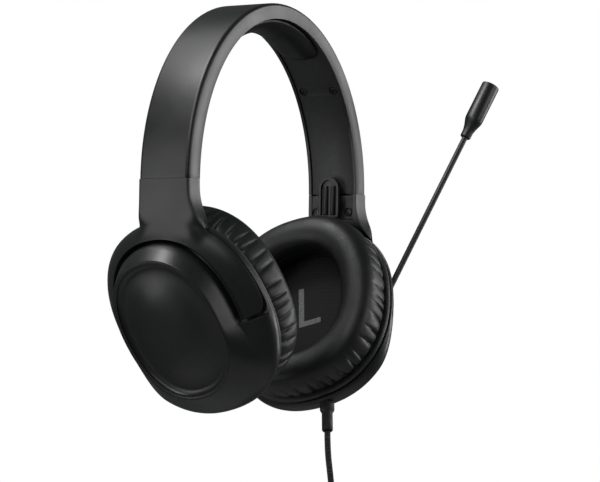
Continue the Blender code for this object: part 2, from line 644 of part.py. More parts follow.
def yoke_shape(sign):
    """The hood is a bent strip; the arm grows out of its upper edge between two angles."""
    rear_steps, front_steps = 10, 8
    angles = [HOOD_START + (ARM_REAR_ANGLE - HOOD_START) * step / rear_steps for step in range(rear_steps)]
    arm_angles = [ARM_REAR_ANGLE + (ARM_FRONT_ANGLE - ARM_REAR_ANGLE) * step / ARM_COLUMNS
                  for step in range(ARM_COLUMNS + 1)]
    front = [ARM_FRONT_ANGLE + (HOOD_END - ARM_FRONT_ANGLE) * (step + 1) / front_steps
             for step in range(front_steps)]
    first_arm = len(angles)
    frame = cup_frame(sign)
    shape = bmesh.new()
    rows = [[shape.verts.new(frame @ Vector(corner)) for corner in hood_corners(angle)]
            for angle in angles + arm_angles + front]
    arm_rows = range(first_arm, first_arm + ARM_COLUMNS)
    for row in rows[first_arm + 1:first_arm + ARM_COLUMNS]:
        for corner in row[:2]:
            corner.co.x = sign * ARCH_HALF_WIDTH
    count = len(rows[0])
    for index, (here, after) in enumerate(zip(rows, rows[1:])):
        for corner in range(count):
            following = (corner + 1) % count
            if corner == count - 1 and index in arm_rows:
                continue
            shape.faces.new((here[corner], after[corner], after[following], here[following]))
    shape.faces.new(list(reversed(rows[0])))
    shape.faces.new(rows[-1])
    # The arm rises to the seam.  Its root passes outside the cup's rim.
    half = BAND_WIDTH / 2
    root_half = grown(RIM_HALF, 0.0006)
    outer = [rows[first_arm + step][0] for step in range(ARM_COLUMNS + 1)]
    under = [rows[first_arm + step][-1] for step in range(ARM_COLUMNS + 1)]
    inner = [shape.verts.new(frame @ Vector((*oval_point(root_half, angle), RIM_LIP + GAP)))
             for angle in arm_angles]
    for step in range(ARM_COLUMNS):
        shape.faces.new((under[step + 1], under[step], inner[step], inner[step + 1]))
    shape.faces.new((under[0], outer[0], inner[0]))
    shape.faces.new((outer[-1], under[-1], inner[-1]))
    across = [half - BAND_WIDTH * step / ARM_COLUMNS for step in range(ARM_COLUMNS + 1)]
    top = SEAM_Z - SEAM_GAP
    for outer_z, inner_z in ((ARM_FOOT_Z + 0.0045, ARM_FOOT_Z + 0.0072), (top, top)):
        next_outer = [shape.verts.new((sign * ARCH_HALF_WIDTH, y, outer_z)) for y in across]
        next_inner = [shape.verts.new((sign * ARM_INNER_X, y, inner_z)) for y in across]
        for step in range(ARM_COLUMNS):
            shape.faces.new((outer[step], outer[step + 1], next_outer[step + 1], next_outer[step]))
            shape.faces.new((inner[step + 1], inner[step], next_inner[step], next_inner[step + 1]))
        shape.faces.new((inner[0], outer[0], next_outer[0], next_inner[0]))
        shape.faces.new((outer[-1], inner[-1], next_inner[-1], next_outer[-1]))
        outer, inner = next_outer, next_inner
    shape.faces.new(outer + list(reversed(inner)))
    bmesh.ops.triangulate(shape, faces=shape.faces)
    bmesh.ops.recalc_face_normals(shape, faces=shape.faces)
    return shape


ARM_SCREW_SIDE = 0.0095
ARM_SCREW_Z = SEAM_Z - 0.0092
POCKET_FOOT_Z = SEAM_Z - 0.0128
PLATE_THICKNESS = 0.0014


def arm_screw(sign, sideways, extra=0.0):
    shape = screw_solid(0.0019, PLATE_THICKNESS - 2 * GAP, 0.0009, 0.0050, extra)
    place = (sign * (ARM_INNER_X + GAP * 2), sideways, ARM_SCREW_Z)
    return moved(shape, axis_frame(place, (-sign, 0.0, 0.0)))


def make_arm(side_name):
    sign = SIDES[side_name]
    owner = side_name + "_arm"
    frame = cup_frame(sign)
    yoke = add(side_name + "_yoke", mesh_of(yoke_shape(sign), "yoke"), SATIN, owner)
    pocket_width = BAND_WIDTH - 2 * ARM_WALL
    pocket_deep = BAND_DEPTH_LEG - ARM_WALL
    pocket_high = SEAM_Z - POCKET_FOOT_Z + ARM_WALL
    apply_boolean(yoke, box((2 * pocket_deep, pocket_width, pocket_high),
                            (sign * ARM_INNER_X, 0.0, POCKET_FOOT_Z + pocket_high / 2)), "DIFFERENCE")
    for place, direction in (("front", -1), ("rear", 1)):
        apply_boolean(yoke, pivot_bar(direction, GAP), "DIFFERENCE", frame)
        pin_name = f"{side_name}_pivot_pin_{place}"
        add(pin_name, mesh_of(pivot_bar(direction), pin_name, frame), STEEL, owner)

    plate_high = SEAM_Z - SEAM_GAP - POCKET_FOOT_Z - 2 * GAP
    plate_z = POCKET_FOOT_Z + GAP + plate_high / 2
    plate_x = ARM_INNER_X + GAP + PLATE_THICKNESS / 2
    plate = add(side_name + "_arm_plate", mesh_of(
        box((PLATE_THICKNESS, pocket_width - 2 * GAP, plate_high), (sign * plate_x, 0.0, plate_z)), "plate"),
        MATT, owner)
    for place, sideways in (("front", -ARM_SCREW_SIDE), ("rear", ARM_SCREW_SIDE)):
        apply_boolean(plate, arm_screw(sign, sideways, GAP), "DIFFERENCE")
        screw_name = f"{side_name}_arm_screw_{place}"
        add(screw_name, mesh_of(arm_screw(sign, sideways), screw_name), SCREW, owner)

    strip_high = STRIP_ABOVE_SEAM + STRIP_BELOW_SEAM
    strip_z = SEAM_Z - STRIP_BELOW_SEAM + strip_high / 2
    strip = add(side_name + "_slide_strip", mesh_of(
        box((STRIP_THICKNESS, STRIP_WIDTH, strip_high),
            (sign * (STRIP_X + STRIP_THICKNESS / 2), 0.0, strip_z)), "strip"), STEEL, owner)
    detents = []
    for step in range(7):
        notch_z = SEAM_Z + 0.0040 + step * ARM_TRAVEL / 6
        for edge in (-1, 1):
            notch = round_bar(0.0007, -0.002, 0.002, segments=8)
            place = (sign * STRIP_X, edge * STRIP_WIDTH / 2, notch_z)
            detents.append(moved(notch, axis_frame(place, (1.0, 0.0, 0.0))))
    apply_boolean(strip, joined(detents), "DIFFERENCE")
    make_cable_guide(side_name, sign, owner)


def make_cable_guide(side_name, sign, owner):
    """A round-topped tongue on the inside of the arm, with two ribs that carry the wires."""
    tongue_thick = 0.0012
    rib_radius = 0.0012
    outer_x = ARM_INNER_X - GAP
    foot = POCKET_FOOT_Z + 0.0010
    straight_top = SEAM_Z + TONGUE_ABOVE_SEAM - TONGUE_WIDTH / 2
    half = TONGUE_WIDTH / 2
    outline = [(-half, foot), (half, foot)]
    outline += [(half * math.cos(math.radians(angle)), straight_top + half * math.sin(math.radians(angle)))
                for angle in range(0, 181, 20)]
    tilt_in = RUN_GAP + 0.0004
    rings = [[(sign * (outer_x - tilt_in), y, z) for y, z in outline],
             [(sign * (outer_x - tilt_in - tongue_thick), y, z) for y, z in outline]]
    guide = add(side_name + "_cable_guide", mesh_of(loft(rings), "guide"), SATIN, owner)
    for edge in (-1, 1):
        rib = round_bar(rib_radius, foot, straight_top + half * 0.3, segments=10,
                        centre=(sign * (outer_x - tilt_in - tongue_thick), edge * half * 0.52))
        apply_boolean(guide, rib, "UNION")


for side_name in SIDES:
    make_arm(side_name)
shells = {side_name: make_cup(side_name) for side_name in SIDES}

# ---------------------------------------------------------------- left cup: board, volume wheel, microphone
left_shell, left_cap = shells["left"]
board_level = STEP_HEIGHT + 0.0010
add("circuit_board", mesh_of(box((0.022, 0.030, 0.0014), (0.003, 0.006, board_level)), "board", LEFT_FRAME),
    BOARD, "left_cup")

wheel_frame = cup_axis(1, WHEEL_PLACE, WHEEL_LEVEL)
teeth = 30
wheel_rings = []
for level in (0.0, WHEEL_THICKNESS):
    wheel_rings.append([((WHEEL_RADIUS - 0.0005 * (step % 2)) * math.cos(math.pi * step / teeth),
                         (WHEEL_RADIUS - 0.0005 * (step % 2)) * math.sin(math.pi * step / teeth), level)
                        for step in range(2 * teeth)])
add("volume_wheel", mesh_of(loft(wheel_rings), "wheel", wheel_frame), RUBBER, "volume_wheel")
control_radius = 0.0040
control_foot = 0.0006
turned("volume_control", [(0.0, -GAP), (control_radius, -GAP), (control_radius, control_foot - WHEEL_LEVEL),
                          (0.0, control_foot - WHEEL_LEVEL)], wheel_frame, MATT, "left_cup", 20)
apply_boolean(left_shell, round_bar(WHEEL_RADIUS + RUN_GAP, -RUN_GAP, WHEEL_THICKNESS + RUN_GAP, segments=36),
              "DIFFERENCE", wheel_frame)
apply_boolean(left_shell, round_bar(control_radius + GAP, -WHEEL_LEVEL - 0.001, 0.0, segments=20),
              "DIFFERENCE", wheel_frame)

hub_frame = cup_axis(1, HUB_PLACE, 0.0)
shaft_radius = 0.0030
socket_radius = HUB_RADIUS - 0.0006
socket_foot = FACE_HEIGHT - 0.0050
socket_top = HUB_LEVEL - GAP
shaft_bore = shaft_radius + RUN_GAP
turned("mic_socket", [(shaft_bore, socket_top), (socket_radius, socket_top), (socket_radius, socket_foot),
                      (shaft_bore, socket_foot)], hub_frame, MATT, "left_cup", 32)
apply_boolean(left_cap, round_bar(socket_radius + GAP, socket_foot - 0.001, HUB_LEVEL + 0.002, segments=32),
              "DIFFERENCE", hub_frame)

boom_direction = (LEFT_FRAME.to_3x3() @ Vector((
    -math.sin(BOOM_REST + CUP_SLANT), math.cos(BOOM_REST + CUP_SLANT), 0.0))).normalized()
boom_root = LEFT_FRAME @ Vector((*HUB_PLACE, BOOM_LEVEL))
boom_frame = axis_frame(boom_root, boom_direction)
neck_reach = 0.0150
tube_start = 0.0105
hub_top = HUB_LEVEL + HUB_HEIGHT
hub = turned("mic_hub", [(0.0, hub_top), (HUB_RADIUS - 0.0010, hub_top), (HUB_RADIUS, hub_top - 0.0010),
                         (HUB_RADIUS, HUB_LEVEL), (shaft_radius, HUB_LEVEL), (shaft_radius, socket_foot + 0.001),
                         (0.0, socket_foot + 0.001)], hub_frame, SATIN, "mic_boom", 32)
apply_boolean(hub, round_bar(HUB_HEIGHT * 0.48, 0.0, neck_reach, segments=16, top_radius=BOOM_DIAMETER * 0.62),
              "UNION", boom_frame)
apply_boolean(hub, round_bar(BOOM_DIAMETER / 2 + GAP * 0.7, tube_start - GAP, neck_reach + 0.005, segments=16),
              "DIFFERENCE", boom_frame)
boom_points = [boom_root + boom_direction * (tube_start + (BOOM_LENGTH - tube_start) * step / 30)
               for step in range(31)]
tube("mic_boom_tube", boom_points, BOOM_DIAMETER, SATIN, "mic_boom")

mic_frame = axis_frame(boom_root + boom_direction * (BOOM_LENGTH + GAP), boom_direction)
mic_radius = MIC_DIAMETER / 2
mic_bore = mic_radius - 0.0009
bore_foot, bore_top = 0.0110, MIC_LENGTH - 0.0012
hollow = round_bar(mic_bore, bore_foot, bore_top, segments=20)
mic = turned("mic_housing", [(0.0, MIC_LENGTH), (mic_radius - 0.0005, MIC_LENGTH), (mic_radius, MIC_LENGTH - 0.0005),
                             (mic_radius, 0.0085), (mic_radius - 0.0008, 0.0080), (0.0028, 0.0008), (0.0028, 0.0),
                             (0.0, 0.0)], mic_frame, SATIN, "mic_boom", 24)
apply_boolean(mic, hollow, "DIFFERENCE", mic_frame)
port_frame = mic_frame @ Matrix.Translation((0.0, 0.0, 0.0218)) @ Matrix.Rotation(math.radians(90), 4, "X")
apply_boolean(mic, round_bar(0.0011, 0.0, 0.010, segments=12), "DIFFERENCE", port_frame)
element_radius = mic_bore - GAP
turned("mic_element", [(0.0, bore_top - GAP), (element_radius, bore_top - GAP), (element_radius, bore_top - 0.0045),
                       (0.0, bore_top - 0.0045)], mic_frame, MAGNET, "mic_boom", 20)

# ---------------------------------------------------------------- strain relief and cord
RELIEF_ANGLE = math.radians(-93.5)
relief_half = flank_at(0.0050)
relief_place = oval_point(relief_half, RELIEF_ANGLE)
relief_top = LEFT_FRAME @ Vector((*relief_place, 0.0050))
relief_way = (LEFT_FRAME.to_3x3() @ Vector((0.0, -1.0, 0.0))).normalized()
collar_radius, sleeve_radius = 0.0036, 0.0027
collar_length = 0.0062
relief_frame = axis_frame(relief_top, relief_way)
relief = turned("strain_relief", [
    (0.0, RELIEF_LENGTH), (sleeve_radius - 0.0006, RELIEF_LENGTH), (sleeve_radius, RELIEF_LENGTH - 0.0060),
    (sleeve_radius, collar_length), (collar_radius, collar_length), (collar_radius, -0.0045), (0.0, -0.0045)],
    relief_frame, RUBBER, "left_cup", 24)
apply_boolean(left_shell, round_bar(collar_radius + GAP, -0.010, 0.020, segments=24), "DIFFERENCE", relief_frame)

coil_centre = Vector(COIL_CENTRE)
cord_exit = relief_top + relief_way * (RELIEF_LENGTH + GAP)
cord_route = [cord_exit, cord_exit + relief_way * 0.0050] + [Vector(point) for point in CORD_DROP]
tube("cord", smooth_run(cord_route, 18), CORD_DIAMETER, BRAID, "left_cup")

wide, deep, middle = COIL_HALF_WIDTH, COIL_HALF_DEPTH, COIL_MIDDLE_RADIUS
corner = 0.0022
coil_frame = axis_frame(coil_centre, (1.0, 0.0, 0.0))
turned("cord_coil", [(middle - deep + corner, wide), (middle + deep - corner, wide), (middle + deep, wide - corner),
                     (middle + deep, corner - wide), (middle + deep - corner, -wide),
                     (middle - deep + corner, -wide), (middle - deep, corner - wide),
                     (middle - deep, wide - corner)], coil_frame, BRAID, "left_cup", 32)

tie_half = 0.0030
tie_wide, tie_thick = wide + GAP, 0.0010
tie_sag = tie_half ** 2 / (2 * (middle - deep))  # the coil curves away inside the tie
tie_rings = []
for offset, extra in ((-tie_half, tie_thick), (tie_half, tie_thick), (tie_half, 0.0), (-tie_half, 0.0)):
    inner_radius = middle - deep - GAP - tie_sag - extra
    outer_radius = middle + deep + GAP + extra
    tie_rings.append([(tie_wide + extra, outer_radius, offset), (-tie_wide - extra, outer_radius, offset),
                      (-tie_wide - extra, inner_radius, offset), (tie_wide + extra, inner_radius, offset)])
tie = add("coil_tie", mesh_of(moved(loft(tie_rings, ring_of_rings=True), Matrix.Translation(coil_centre)), "tie"),
          RUBBER, "left_cup")

plug_top = coil_centre + Vector((0.0, -middle, -0.0260))
tail_start = Vector((coil_centre.x, plug_top.y, coil_centre.z - 0.0190))
down = Vector((0.0, 0.0, -1.0))
plug_frame = axis_frame(plug_top, down)
tube("cord_tail", [tail_start + (plug_top + Vector((0, 0, GAP)) - tail_start) * (step / 4) for step in range(5)],
     CORD_DIAMETER, BRAID, "left_cup")
plug_length, plug_radius = 0.0230, 0.0036
turned("plug_body", [(0.0, plug_length), (plug_radius, plug_length), (plug_radius, 0.0090),
                     (0.0024, 0.0012), (0.0022, 0.0), (0.0, 0.0)], plug_frame, RUBBER, "left_cup", 24)
pin_foot = plug_length + GAP
pin_end = pin_foot + 0.0140
turned("plug_contacts", [(0.0, pin_end), (0.0009, pin_end - 0.0002), (0.00175, pin_end - 0.0018),
                         (0.00125, pin_end - 0.0030), (0.00175, pin_end - 0.0038), (0.00175, pin_foot + 0.0010),
                         (0.0030, pin_foot + 0.0010), (0.0030, pin_foot), (0.0, pin_foot)], plug_frame, GOLD,
       "left_cup", 24)
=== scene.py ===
import json
import math

import bmesh
import bpy
from mathutils import Matrix, Quaternion, Vector


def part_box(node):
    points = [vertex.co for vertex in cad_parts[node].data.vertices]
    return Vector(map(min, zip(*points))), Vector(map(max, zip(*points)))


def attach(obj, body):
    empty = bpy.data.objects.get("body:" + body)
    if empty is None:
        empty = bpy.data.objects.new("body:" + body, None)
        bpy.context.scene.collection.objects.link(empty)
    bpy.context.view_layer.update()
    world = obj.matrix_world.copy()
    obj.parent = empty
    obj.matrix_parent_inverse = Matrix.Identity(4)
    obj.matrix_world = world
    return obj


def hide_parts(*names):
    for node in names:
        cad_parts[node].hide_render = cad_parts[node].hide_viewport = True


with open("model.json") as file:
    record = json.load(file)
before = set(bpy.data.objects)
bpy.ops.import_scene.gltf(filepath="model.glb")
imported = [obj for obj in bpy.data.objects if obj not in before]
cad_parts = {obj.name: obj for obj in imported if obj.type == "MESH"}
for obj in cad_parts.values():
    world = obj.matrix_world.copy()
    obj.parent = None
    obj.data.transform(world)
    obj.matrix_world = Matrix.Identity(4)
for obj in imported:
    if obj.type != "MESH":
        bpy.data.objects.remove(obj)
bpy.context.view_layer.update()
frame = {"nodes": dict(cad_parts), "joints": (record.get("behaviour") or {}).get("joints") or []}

# ------------------------------------------------------------------ camera
# A long lens a little below the middle of the headset, at the wearer's front right, so that the right cup
# shows its face and the left cup shows the inside of its cushion.
AIM = Vector((0.01147, -0.01771, -0.09972))
TOWARDS_CAMERA = Vector((-0.8387, -0.5434, -0.0358)).normalized()
CAMERA_DISTANCE = 1.33049
CAMERA_ROLL = math.radians(0.79)
FOCAL_LENGTH, SENSOR_WIDTH = 165.38, 36.0


def in_scene(name, data):
    """Puts a camera, a lamp, a curve or a mesh in the scene."""
    made = bpy.data.objects.new(name, data)
    bpy.context.scene.collection.objects.link(made)
    return made


lens = bpy.data.cameras.new("camera")
lens.lens, lens.sensor_width = FOCAL_LENGTH, SENSOR_WIDTH
lens.clip_start, lens.clip_end = 0.05, 20.0
camera = in_scene("camera", lens)
camera.rotation_mode = "QUATERNION"
camera.location = AIM + TOWARDS_CAMERA * CAMERA_DISTANCE
camera.rotation_quaternion = (-TOWARDS_CAMERA).to_track_quat("-Z", "Y") @ Quaternion((0, 0, 1), CAMERA_ROLL)
bpy.context.scene.camera = camera

# ------------------------------------------------------------------ studio
# A white room with a pale floor well below the hanging headset.  Soft lamps stand at its left front, over
# the band and the cups, and along its right side; a faint glow fills the rest, and little comes from below.
FLOOR_DROP, FLOOR_RADIUS = 0.90, 1.1


def primitive(operator, name, **settings):
    """Adds a primitive at its size and place, with nothing else selected and its place in its mesh."""
    bpy.ops.object.select_all(action="DESELECT")
    operator(**settings)
    bpy.ops.object.transform_apply(location=True, rotation=True, scale=True)
    piece = bpy.context.object
    piece.name = name
    return piece


floor_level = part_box("plug_contacts")[0].z - FLOOR_DROP
floor = primitive(bpy.ops.mesh.primitive_circle_add, "floor", vertices=96, radius=FLOOR_RADIUS,
                  fill_type="NGON", location=(0, 0, floor_level))
paper = bpy.data.materials.new("pale_floor")
paper.use_nodes = True
paper_shader = paper.node_tree.nodes["Principled BSDF"]
paper_shader.inputs["Base Color"].default_value = (0.62, 0.62, 0.62, 1.0)
paper_shader.inputs["Roughness"].default_value = 0.9
floor.data.materials.append(paper)

world = bpy.data.worlds.new("white_room")
world.use_nodes = True
room = world.node_tree
backdrop = room.nodes["Background"]
backdrop.inputs["Color"].default_value = (1.0, 1.0, 1.0, 1.0)
backdrop.inputs["Strength"].default_value = 1.0
glow = room.nodes.new("ShaderNodeBackground")
glow.inputs["Color"].default_value = (0.95, 1.0, 0.99, 1.0)
glow.inputs["Strength"].default_value = 0.10
seen = room.nodes.new("ShaderNodeLightPath")
either = room.nodes.new("ShaderNodeMixShader")
room.links.new(seen.outputs["Is Camera Ray"], either.inputs["Fac"])
room.links.new(glow.outputs["Background"], either.inputs[1])
room.links.new(backdrop.outputs["Background"], either.inputs[2])
room.links.new(either.outputs["Shader"], room.nodes["World Output"].inputs["Surface"])
bpy.context.scene.world = world
bpy.context.scene.view_settings.view_transform = "Standard"


def lamp(name, direction, distance, size, power):
    """A soft rectangular lamp that faces the middle of the headset."""
    light = bpy.data.lights.new(name, "AREA")
    light.shape = "RECTANGLE"
    light.size, light.size_y = size
    light.energy = power
    fixture = in_scene(name, light)
    fixture.location = AIM + Vector(direction).normalized() * distance
    fixture.rotation_mode = "QUATERNION"
    fixture.rotation_quaternion = (-Vector(direction)).to_track_quat("-Z", "Y")


lamp("lamp_left_front", (0.84, -0.54, 0.10), 1.2, (0.4, 0.8), 5.4)
lamp("lamp_front", (0.25, -0.95, 0.25), 1.3, (0.6, 0.8), 3.4)
lamp("lamp_near_side", (-0.72, -0.28, 0.30), 1.5, (0.5, 0.5), 1.8)
lamp("lamp_low_rear", (-0.76, 0.55, -0.30), 1.4, (0.5, 0.3), 1.0)
lamp("lamp_over_band", (-0.05, 0.54, 0.83), 1.2, (0.5, 0.5), 1.6)
lamp("lamp_over_cup", (-0.42, 0.32, 0.85), 1.2, (0.4, 0.4), 7.0)
lamp("lamp_right_rear", (-0.84, 0.54, 0.02), 1.4, (0.5, 0.9), 3.2)
lamp("lamp_high_right", (-0.75, 0.10, 0.66), 1.3, (0.6, 0.6), 5.0)

# ------------------------------------------------------------------ cord
# A 3 mm braided cord that leaves the strain relief under the left cup.  It is 1.8 m long: what does not hang
# in view is wound in fifteen turns and tied, and it ends in a moulded 3.5 mm plug.
CORD_DIAMETER = 0.0030
COIL_CENTRE = Vector((0.0270, -0.0107, -0.2518))
COIL_RADIUS = 0.0180
TURN_POINTS = 20
FIRST_TURN_STARTS = math.radians(38.0)
CORD_DROP = [(0.0278, -0.0252, -0.2038), (0.0272, -0.0270, -0.2138), (0.0270, -0.0283, -0.2238)]
PIVOT_LEVEL = 0.0040
RELIEF_LEVEL, RELIEF_LENGTH, RELIEF_PLACE = 0.0050, 0.0170, (-0.0046, -0.0464)
EXIT_GAP = 0.0003
MIRROR = Matrix.Diagonal((-1.0, 1.0, 1.0, 1.0))


def cup_axes():
    """The left cup's own axes: u to the rear, v up its face, n out of its face, from its rim's middle."""
    joints = {joint["name"]: joint for joint in frame["joints"]}
    out = Vector(joints["mic_boom_turn"]["axis"]).normalized()
    rear = -Vector(joints["left_cup_tilt"]["axis"]).normalized()
    up = out.cross(rear)
    centre = Vector(joints["left_cup_tilt"]["pos_m"]) - out * PIVOT_LEVEL
    axes = Matrix.Identity(4)
    for column, axis in enumerate((rear, up, out, centre)):
        axes.col[column][:3] = axis
    return axes


LEFT = cup_axes()
RIGHT = MIRROR @ LEFT
relief_way = (LEFT.to_3x3() @ Vector((0.0, -1.0, 0.0))).normalized()
relief_root = LEFT @ Vector((*RELIEF_PLACE, RELIEF_LEVEL))
cord_exit = relief_root + relief_way * (RELIEF_LENGTH + EXIT_GAP)


def ease(value):
    """A soft step from 0 to 1."""
    value = min(1.0, max(0.0, value))
    return value * value * (3 - 2 * value)


def catmull(route, steps=5):
    """A smooth run of points through a route."""
    line = [Vector(point) for point in route]
    line = [2 * line[0] - line[1]] + line + [2 * line[-1] - line[-2]]
    run = []
    for a, b, c, d in zip(line, line[1:], line[2:], line[3:]):
        for step in range(steps):
            t = step / steps
            run.append(0.5 * (2 * b + (c - a) * t + (2 * a - 5 * b + 4 * c - d) * t ** 2
                              + (3 * b - a - 3 * c + d) * t ** 3))
    run.append(line[-2])
    return run


def coil_places():
    """Cross-section of the winding: four columns of turns, wound in and out, one short of sixteen."""
    places = []
    for column in range(4):
        rows = (3, 2, 1, 0) if column % 2 == 0 else (0, 1, 2, 3)
        places += [((column - 1.5) * CORD_DIAMETER, COIL_RADIUS + (row - 1.5) * CORD_DIAMETER)
                   for row in rows if (column, row) != (2, 3)]
    return places


def coil_run():
    """Turn after turn, from the front over the underside; each turn shifts to its next place at the top."""
    run = []
    places = coil_places()
    for turn, (across, radius) in enumerate(places):
        after = places[min(turn + 1, len(places) - 1)]
        for step in range(TURN_POINTS):
            share = step / TURN_POINTS
            shift = ease((share - 0.70) / 0.20)
            x = across + (after[0] - across) * shift
            r = radius + (after[1] - radius) * shift
            angle = FIRST_TURN_STARTS - 2 * math.pi * share
            run.append(COIL_CENTRE + Vector((x, -r * math.cos(angle), r * math.sin(angle))))
    return run


plug_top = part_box("plug_body")[1]
plug_x = sum(corner.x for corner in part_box("plug_body")) / 2
plug_y = sum(corner.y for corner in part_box("plug_body")) / 2
turns = coil_run()
last_across = coil_places()[-1][0]
leaving = [COIL_CENTRE + Vector((last_across * share, forward, height))
           for share, forward, height in ((0.9, -0.0195, 0.0085), (0.7, -0.0214, -0.0030),
                                          (0.3, -0.0200, -0.0150))]
leaving.append(Vector((plug_x, plug_y, plug_top.z - 0.0015)))
drop_points = [cord_exit, cord_exit + relief_way * 0.0050] + [Vector(point) for point in CORD_DROP]
drop_points += [turns[0] + Vector((0.0010, -0.0009, 0.0052)), turns[0]]
cord_line = catmull(drop_points)[:-1] + turns + catmull([turns[-1]] + leaving)[1:]

cord_path = bpy.data.curves.new("braided_cord", "CURVE")
cord_path.dimensions = "3D"
cord_path.bevel_depth = CORD_DIAMETER / 2
cord_path.bevel_resolution = 3
cord_path.use_fill_caps = True
strand = cord_path.splines.new("POLY")
strand.points.add(len(cord_line) - 1)
for slot, point in zip(strand.points, cord_line):
    slot.co = (*point, 1.0)
strand.use_smooth = True
braided_cord = in_scene("braided_cord", cord_path)


class Finish:
    """A material in the making.  Patterns on the piece's own coordinates feed its gloss, colour and grain."""

    def __init__(self, name, colour, roughness, metallic=0.0):
        self.material = bpy.data.materials.new(name)
        self.material.use_nodes = True
        self.tree = self.material.node_tree
        self.shader = self.tree.nodes["Principled BSDF"]
        self.shader.inputs["Base Color"].default_value = (*colour, 1.0)
        self.shader.inputs["Roughness"].default_value = roughness
        self.shader.inputs["Metallic"].default_value = metallic
        self.place = self.tree.nodes.new("ShaderNodeTexCoord").outputs["Object"]
        self.raised = None

    def pattern(self, kind, output, place=None, **settings):
        """A texture's output, on the piece's own coordinates unless others are given."""
        node = self.tree.nodes.new("ShaderNodeTex" + kind)
        for name, value in settings.items():
            node.inputs[name].default_value = value
        self.tree.links.new(self.place if place is None else place, node.inputs["Vector"])
        return node.outputs[output]

    def noise(self, scale, detail=2.0):
        return self.pattern("Noise", "Fac", Scale=scale, Detail=detail)

    def gloss(self, value, low, high):
        """Uneven roughness: a pattern's usual middle range is carried to another range."""
        node = self.tree.nodes.new("ShaderNodeMapRange")
        for name, setting in (("From Min", 0.3), ("From Max", 0.7), ("To Min", low), ("To Max", high)):
            node.inputs[name].default_value = setting
        self.tree.links.new(value, node.inputs["Value"])
        self.tree.links.new(node.outputs["Result"], self.shader.inputs["Roughness"])

    def shade(self, value, dark, light):
        """Uneven colour: two shades, mixed by a pattern."""
        node = self.tree.nodes.new("ShaderNodeValToRGB")
        low, high = node.color_ramp.elements
        low.color, high.color = (*dark, 1.0), (*light, 1.0)
        low.position, high.position = 0.3, 0.7
        self.tree.links.new(value, node.inputs["Fac"])
        self.tree.links.new(node.outputs["Color"], self.shader.inputs["Base Color"])

    def grain(self, value, height, strength=1.0):
        """A raised grain.  A second one lies on top of the first."""
        node = self.tree.nodes.new("ShaderNodeBump")
        node.inputs["Distance"].default_value = height
        node.inputs["Strength"].default_value = strength
        self.tree.links.new(value, node.inputs["Height"])
        if self.raised is not None:
            self.tree.links.new(self.raised, node.inputs["Normal"])
        self.raised = node.outputs["Normal"]
        self.tree.links.new(self.raised, self.shader.inputs["Normal"])


# Black polyester yarn, braided: two crossing sets of diagonal ribs, with painted shade in the grooves and a
# painted highlight on the rib tops.
braid = Finish("black_braid", (0.016, 0.016, 0.017), 0.80)
weave_and_painted_shade = braid.tree.nodes.new("ShaderNodeMath")
weave_and_painted_shade.operation = "MULTIPLY"
for slope, factor in ((1.0, weave_and_painted_shade.inputs[0]), (-1.0, weave_and_painted_shade.inputs[1])):
    slant = braid.tree.nodes.new("ShaderNodeMapping")
    slant.inputs["Rotation"].default_value = (0.6 * slope, 0.9 * slope, 0.0)
    braid.tree.links.new(braid.place, slant.inputs["Vector"])
    ribs = braid.pattern("Wave", "Fac", slant.outputs["Vector"], Scale=340.0, Distortion=0.6)
    braid.tree.links.new(ribs, factor)
# The colour follows the rib height: painted shade in the grooves, painted highlight on the rib tops.
braid.shade(weave_and_painted_shade.outputs["Value"], (0.010, 0.010, 0.011), (0.045, 0.046, 0.048))
braid.grain(weave_and_painted_shade.outputs["Value"], 0.0003, 0.8)
braid.shader.inputs["Sheen Weight"].default_value = 0.15
BRAID = braid.material
cord_path.materials.append(BRAID)
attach(braided_cord, "left_cup")
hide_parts("cord", "cord_coil", "cord_tail")


# ------------------------------------------------------------------ plug, tie and strain relief
# The plug body, the tie and the two-stage strain relief are soft black rubber, moulded over the cord; the
# plug's pin is gold-plated brass with three insulating rings.
def edit():
    bpy.ops.object.mode_set(mode="EDIT")


def done():
    bpy.ops.object.mode_set(mode="OBJECT")


def outwards():
    """Turns every face of the piece in edit mode outwards, and leaves edit mode."""
    bpy.ops.mesh.select_all(action="SELECT")
    bpy.ops.mesh.normals_make_consistent(inside=False)
    done()


def only(piece):
    """Selects one piece for the operators to act on."""
    bpy.ops.object.select_all(action="DESELECT")
    piece.select_set(True)
    bpy.context.view_layer.objects.active = piece


def pick(piece, faces=None, edges=None, verts=None):
    """Selects a piece's faces, edges or points by a test of their place."""
    shape = bmesh.from_edit_mesh(piece.data)
    bpy.ops.mesh.select_all(action="DESELECT")
    if faces:
        bpy.ops.mesh.select_mode(type="FACE")
        chosen = [face for face in shape.faces if faces(face)]
    elif edges:
        bpy.ops.mesh.select_mode(type="EDGE")
        chosen = [edge for edge in shape.edges if edges(edge)]
    else:
        bpy.ops.mesh.select_mode(type="VERT")
        chosen = [vert for vert in shape.verts if verts(vert)]
    for part in chosen:
        part.select_set(True)
    shape.select_flush_mode()
    bmesh.update_edit_mesh(piece.data)


def modify(piece, kind, **settings):
    """Adds a modifier, sets it and applies it."""
    only(piece)
    made = piece.modifiers.new(kind.lower(), kind)
    for key, value in settings.items():
        setattr(made, key, value)
    bpy.ops.object.modifier_apply(modifier=made.name)


def round_edges(piece, width, segments, degrees):
    """Rounds every edge that is sharper than an angle, as a mould does."""
    modify(piece, "BEVEL", width=width, segments=segments, limit_method="ANGLE",
           angle_limit=math.radians(degrees))


def smooth(piece, degrees=32.0):
    only(piece)
    bpy.ops.object.shade_smooth_by_angle(angle=math.radians(degrees))


def place_mesh(piece, matrix):
    """Puts a piece's mesh in its place, and turns it the right way out if it is mirrored."""
    piece.data.transform(matrix)
    if matrix.determinant() < 0:
        piece.data.flip_normals()


def settle(piece, body, finish, slot_name, *nodes):
    """Gives a finished piece its material, its body and the solids that it stands for."""
    piece.data.materials.clear()
    piece.data.materials.append(finish)
    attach(piece, body)
    if nodes:
        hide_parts(*nodes)
    return piece


def copy_of(piece, name, matrix):
    """A copy with its own mesh, put in its place."""
    twin = in_scene(name, piece.data.copy())
    place_mesh(twin, matrix)
    return twin


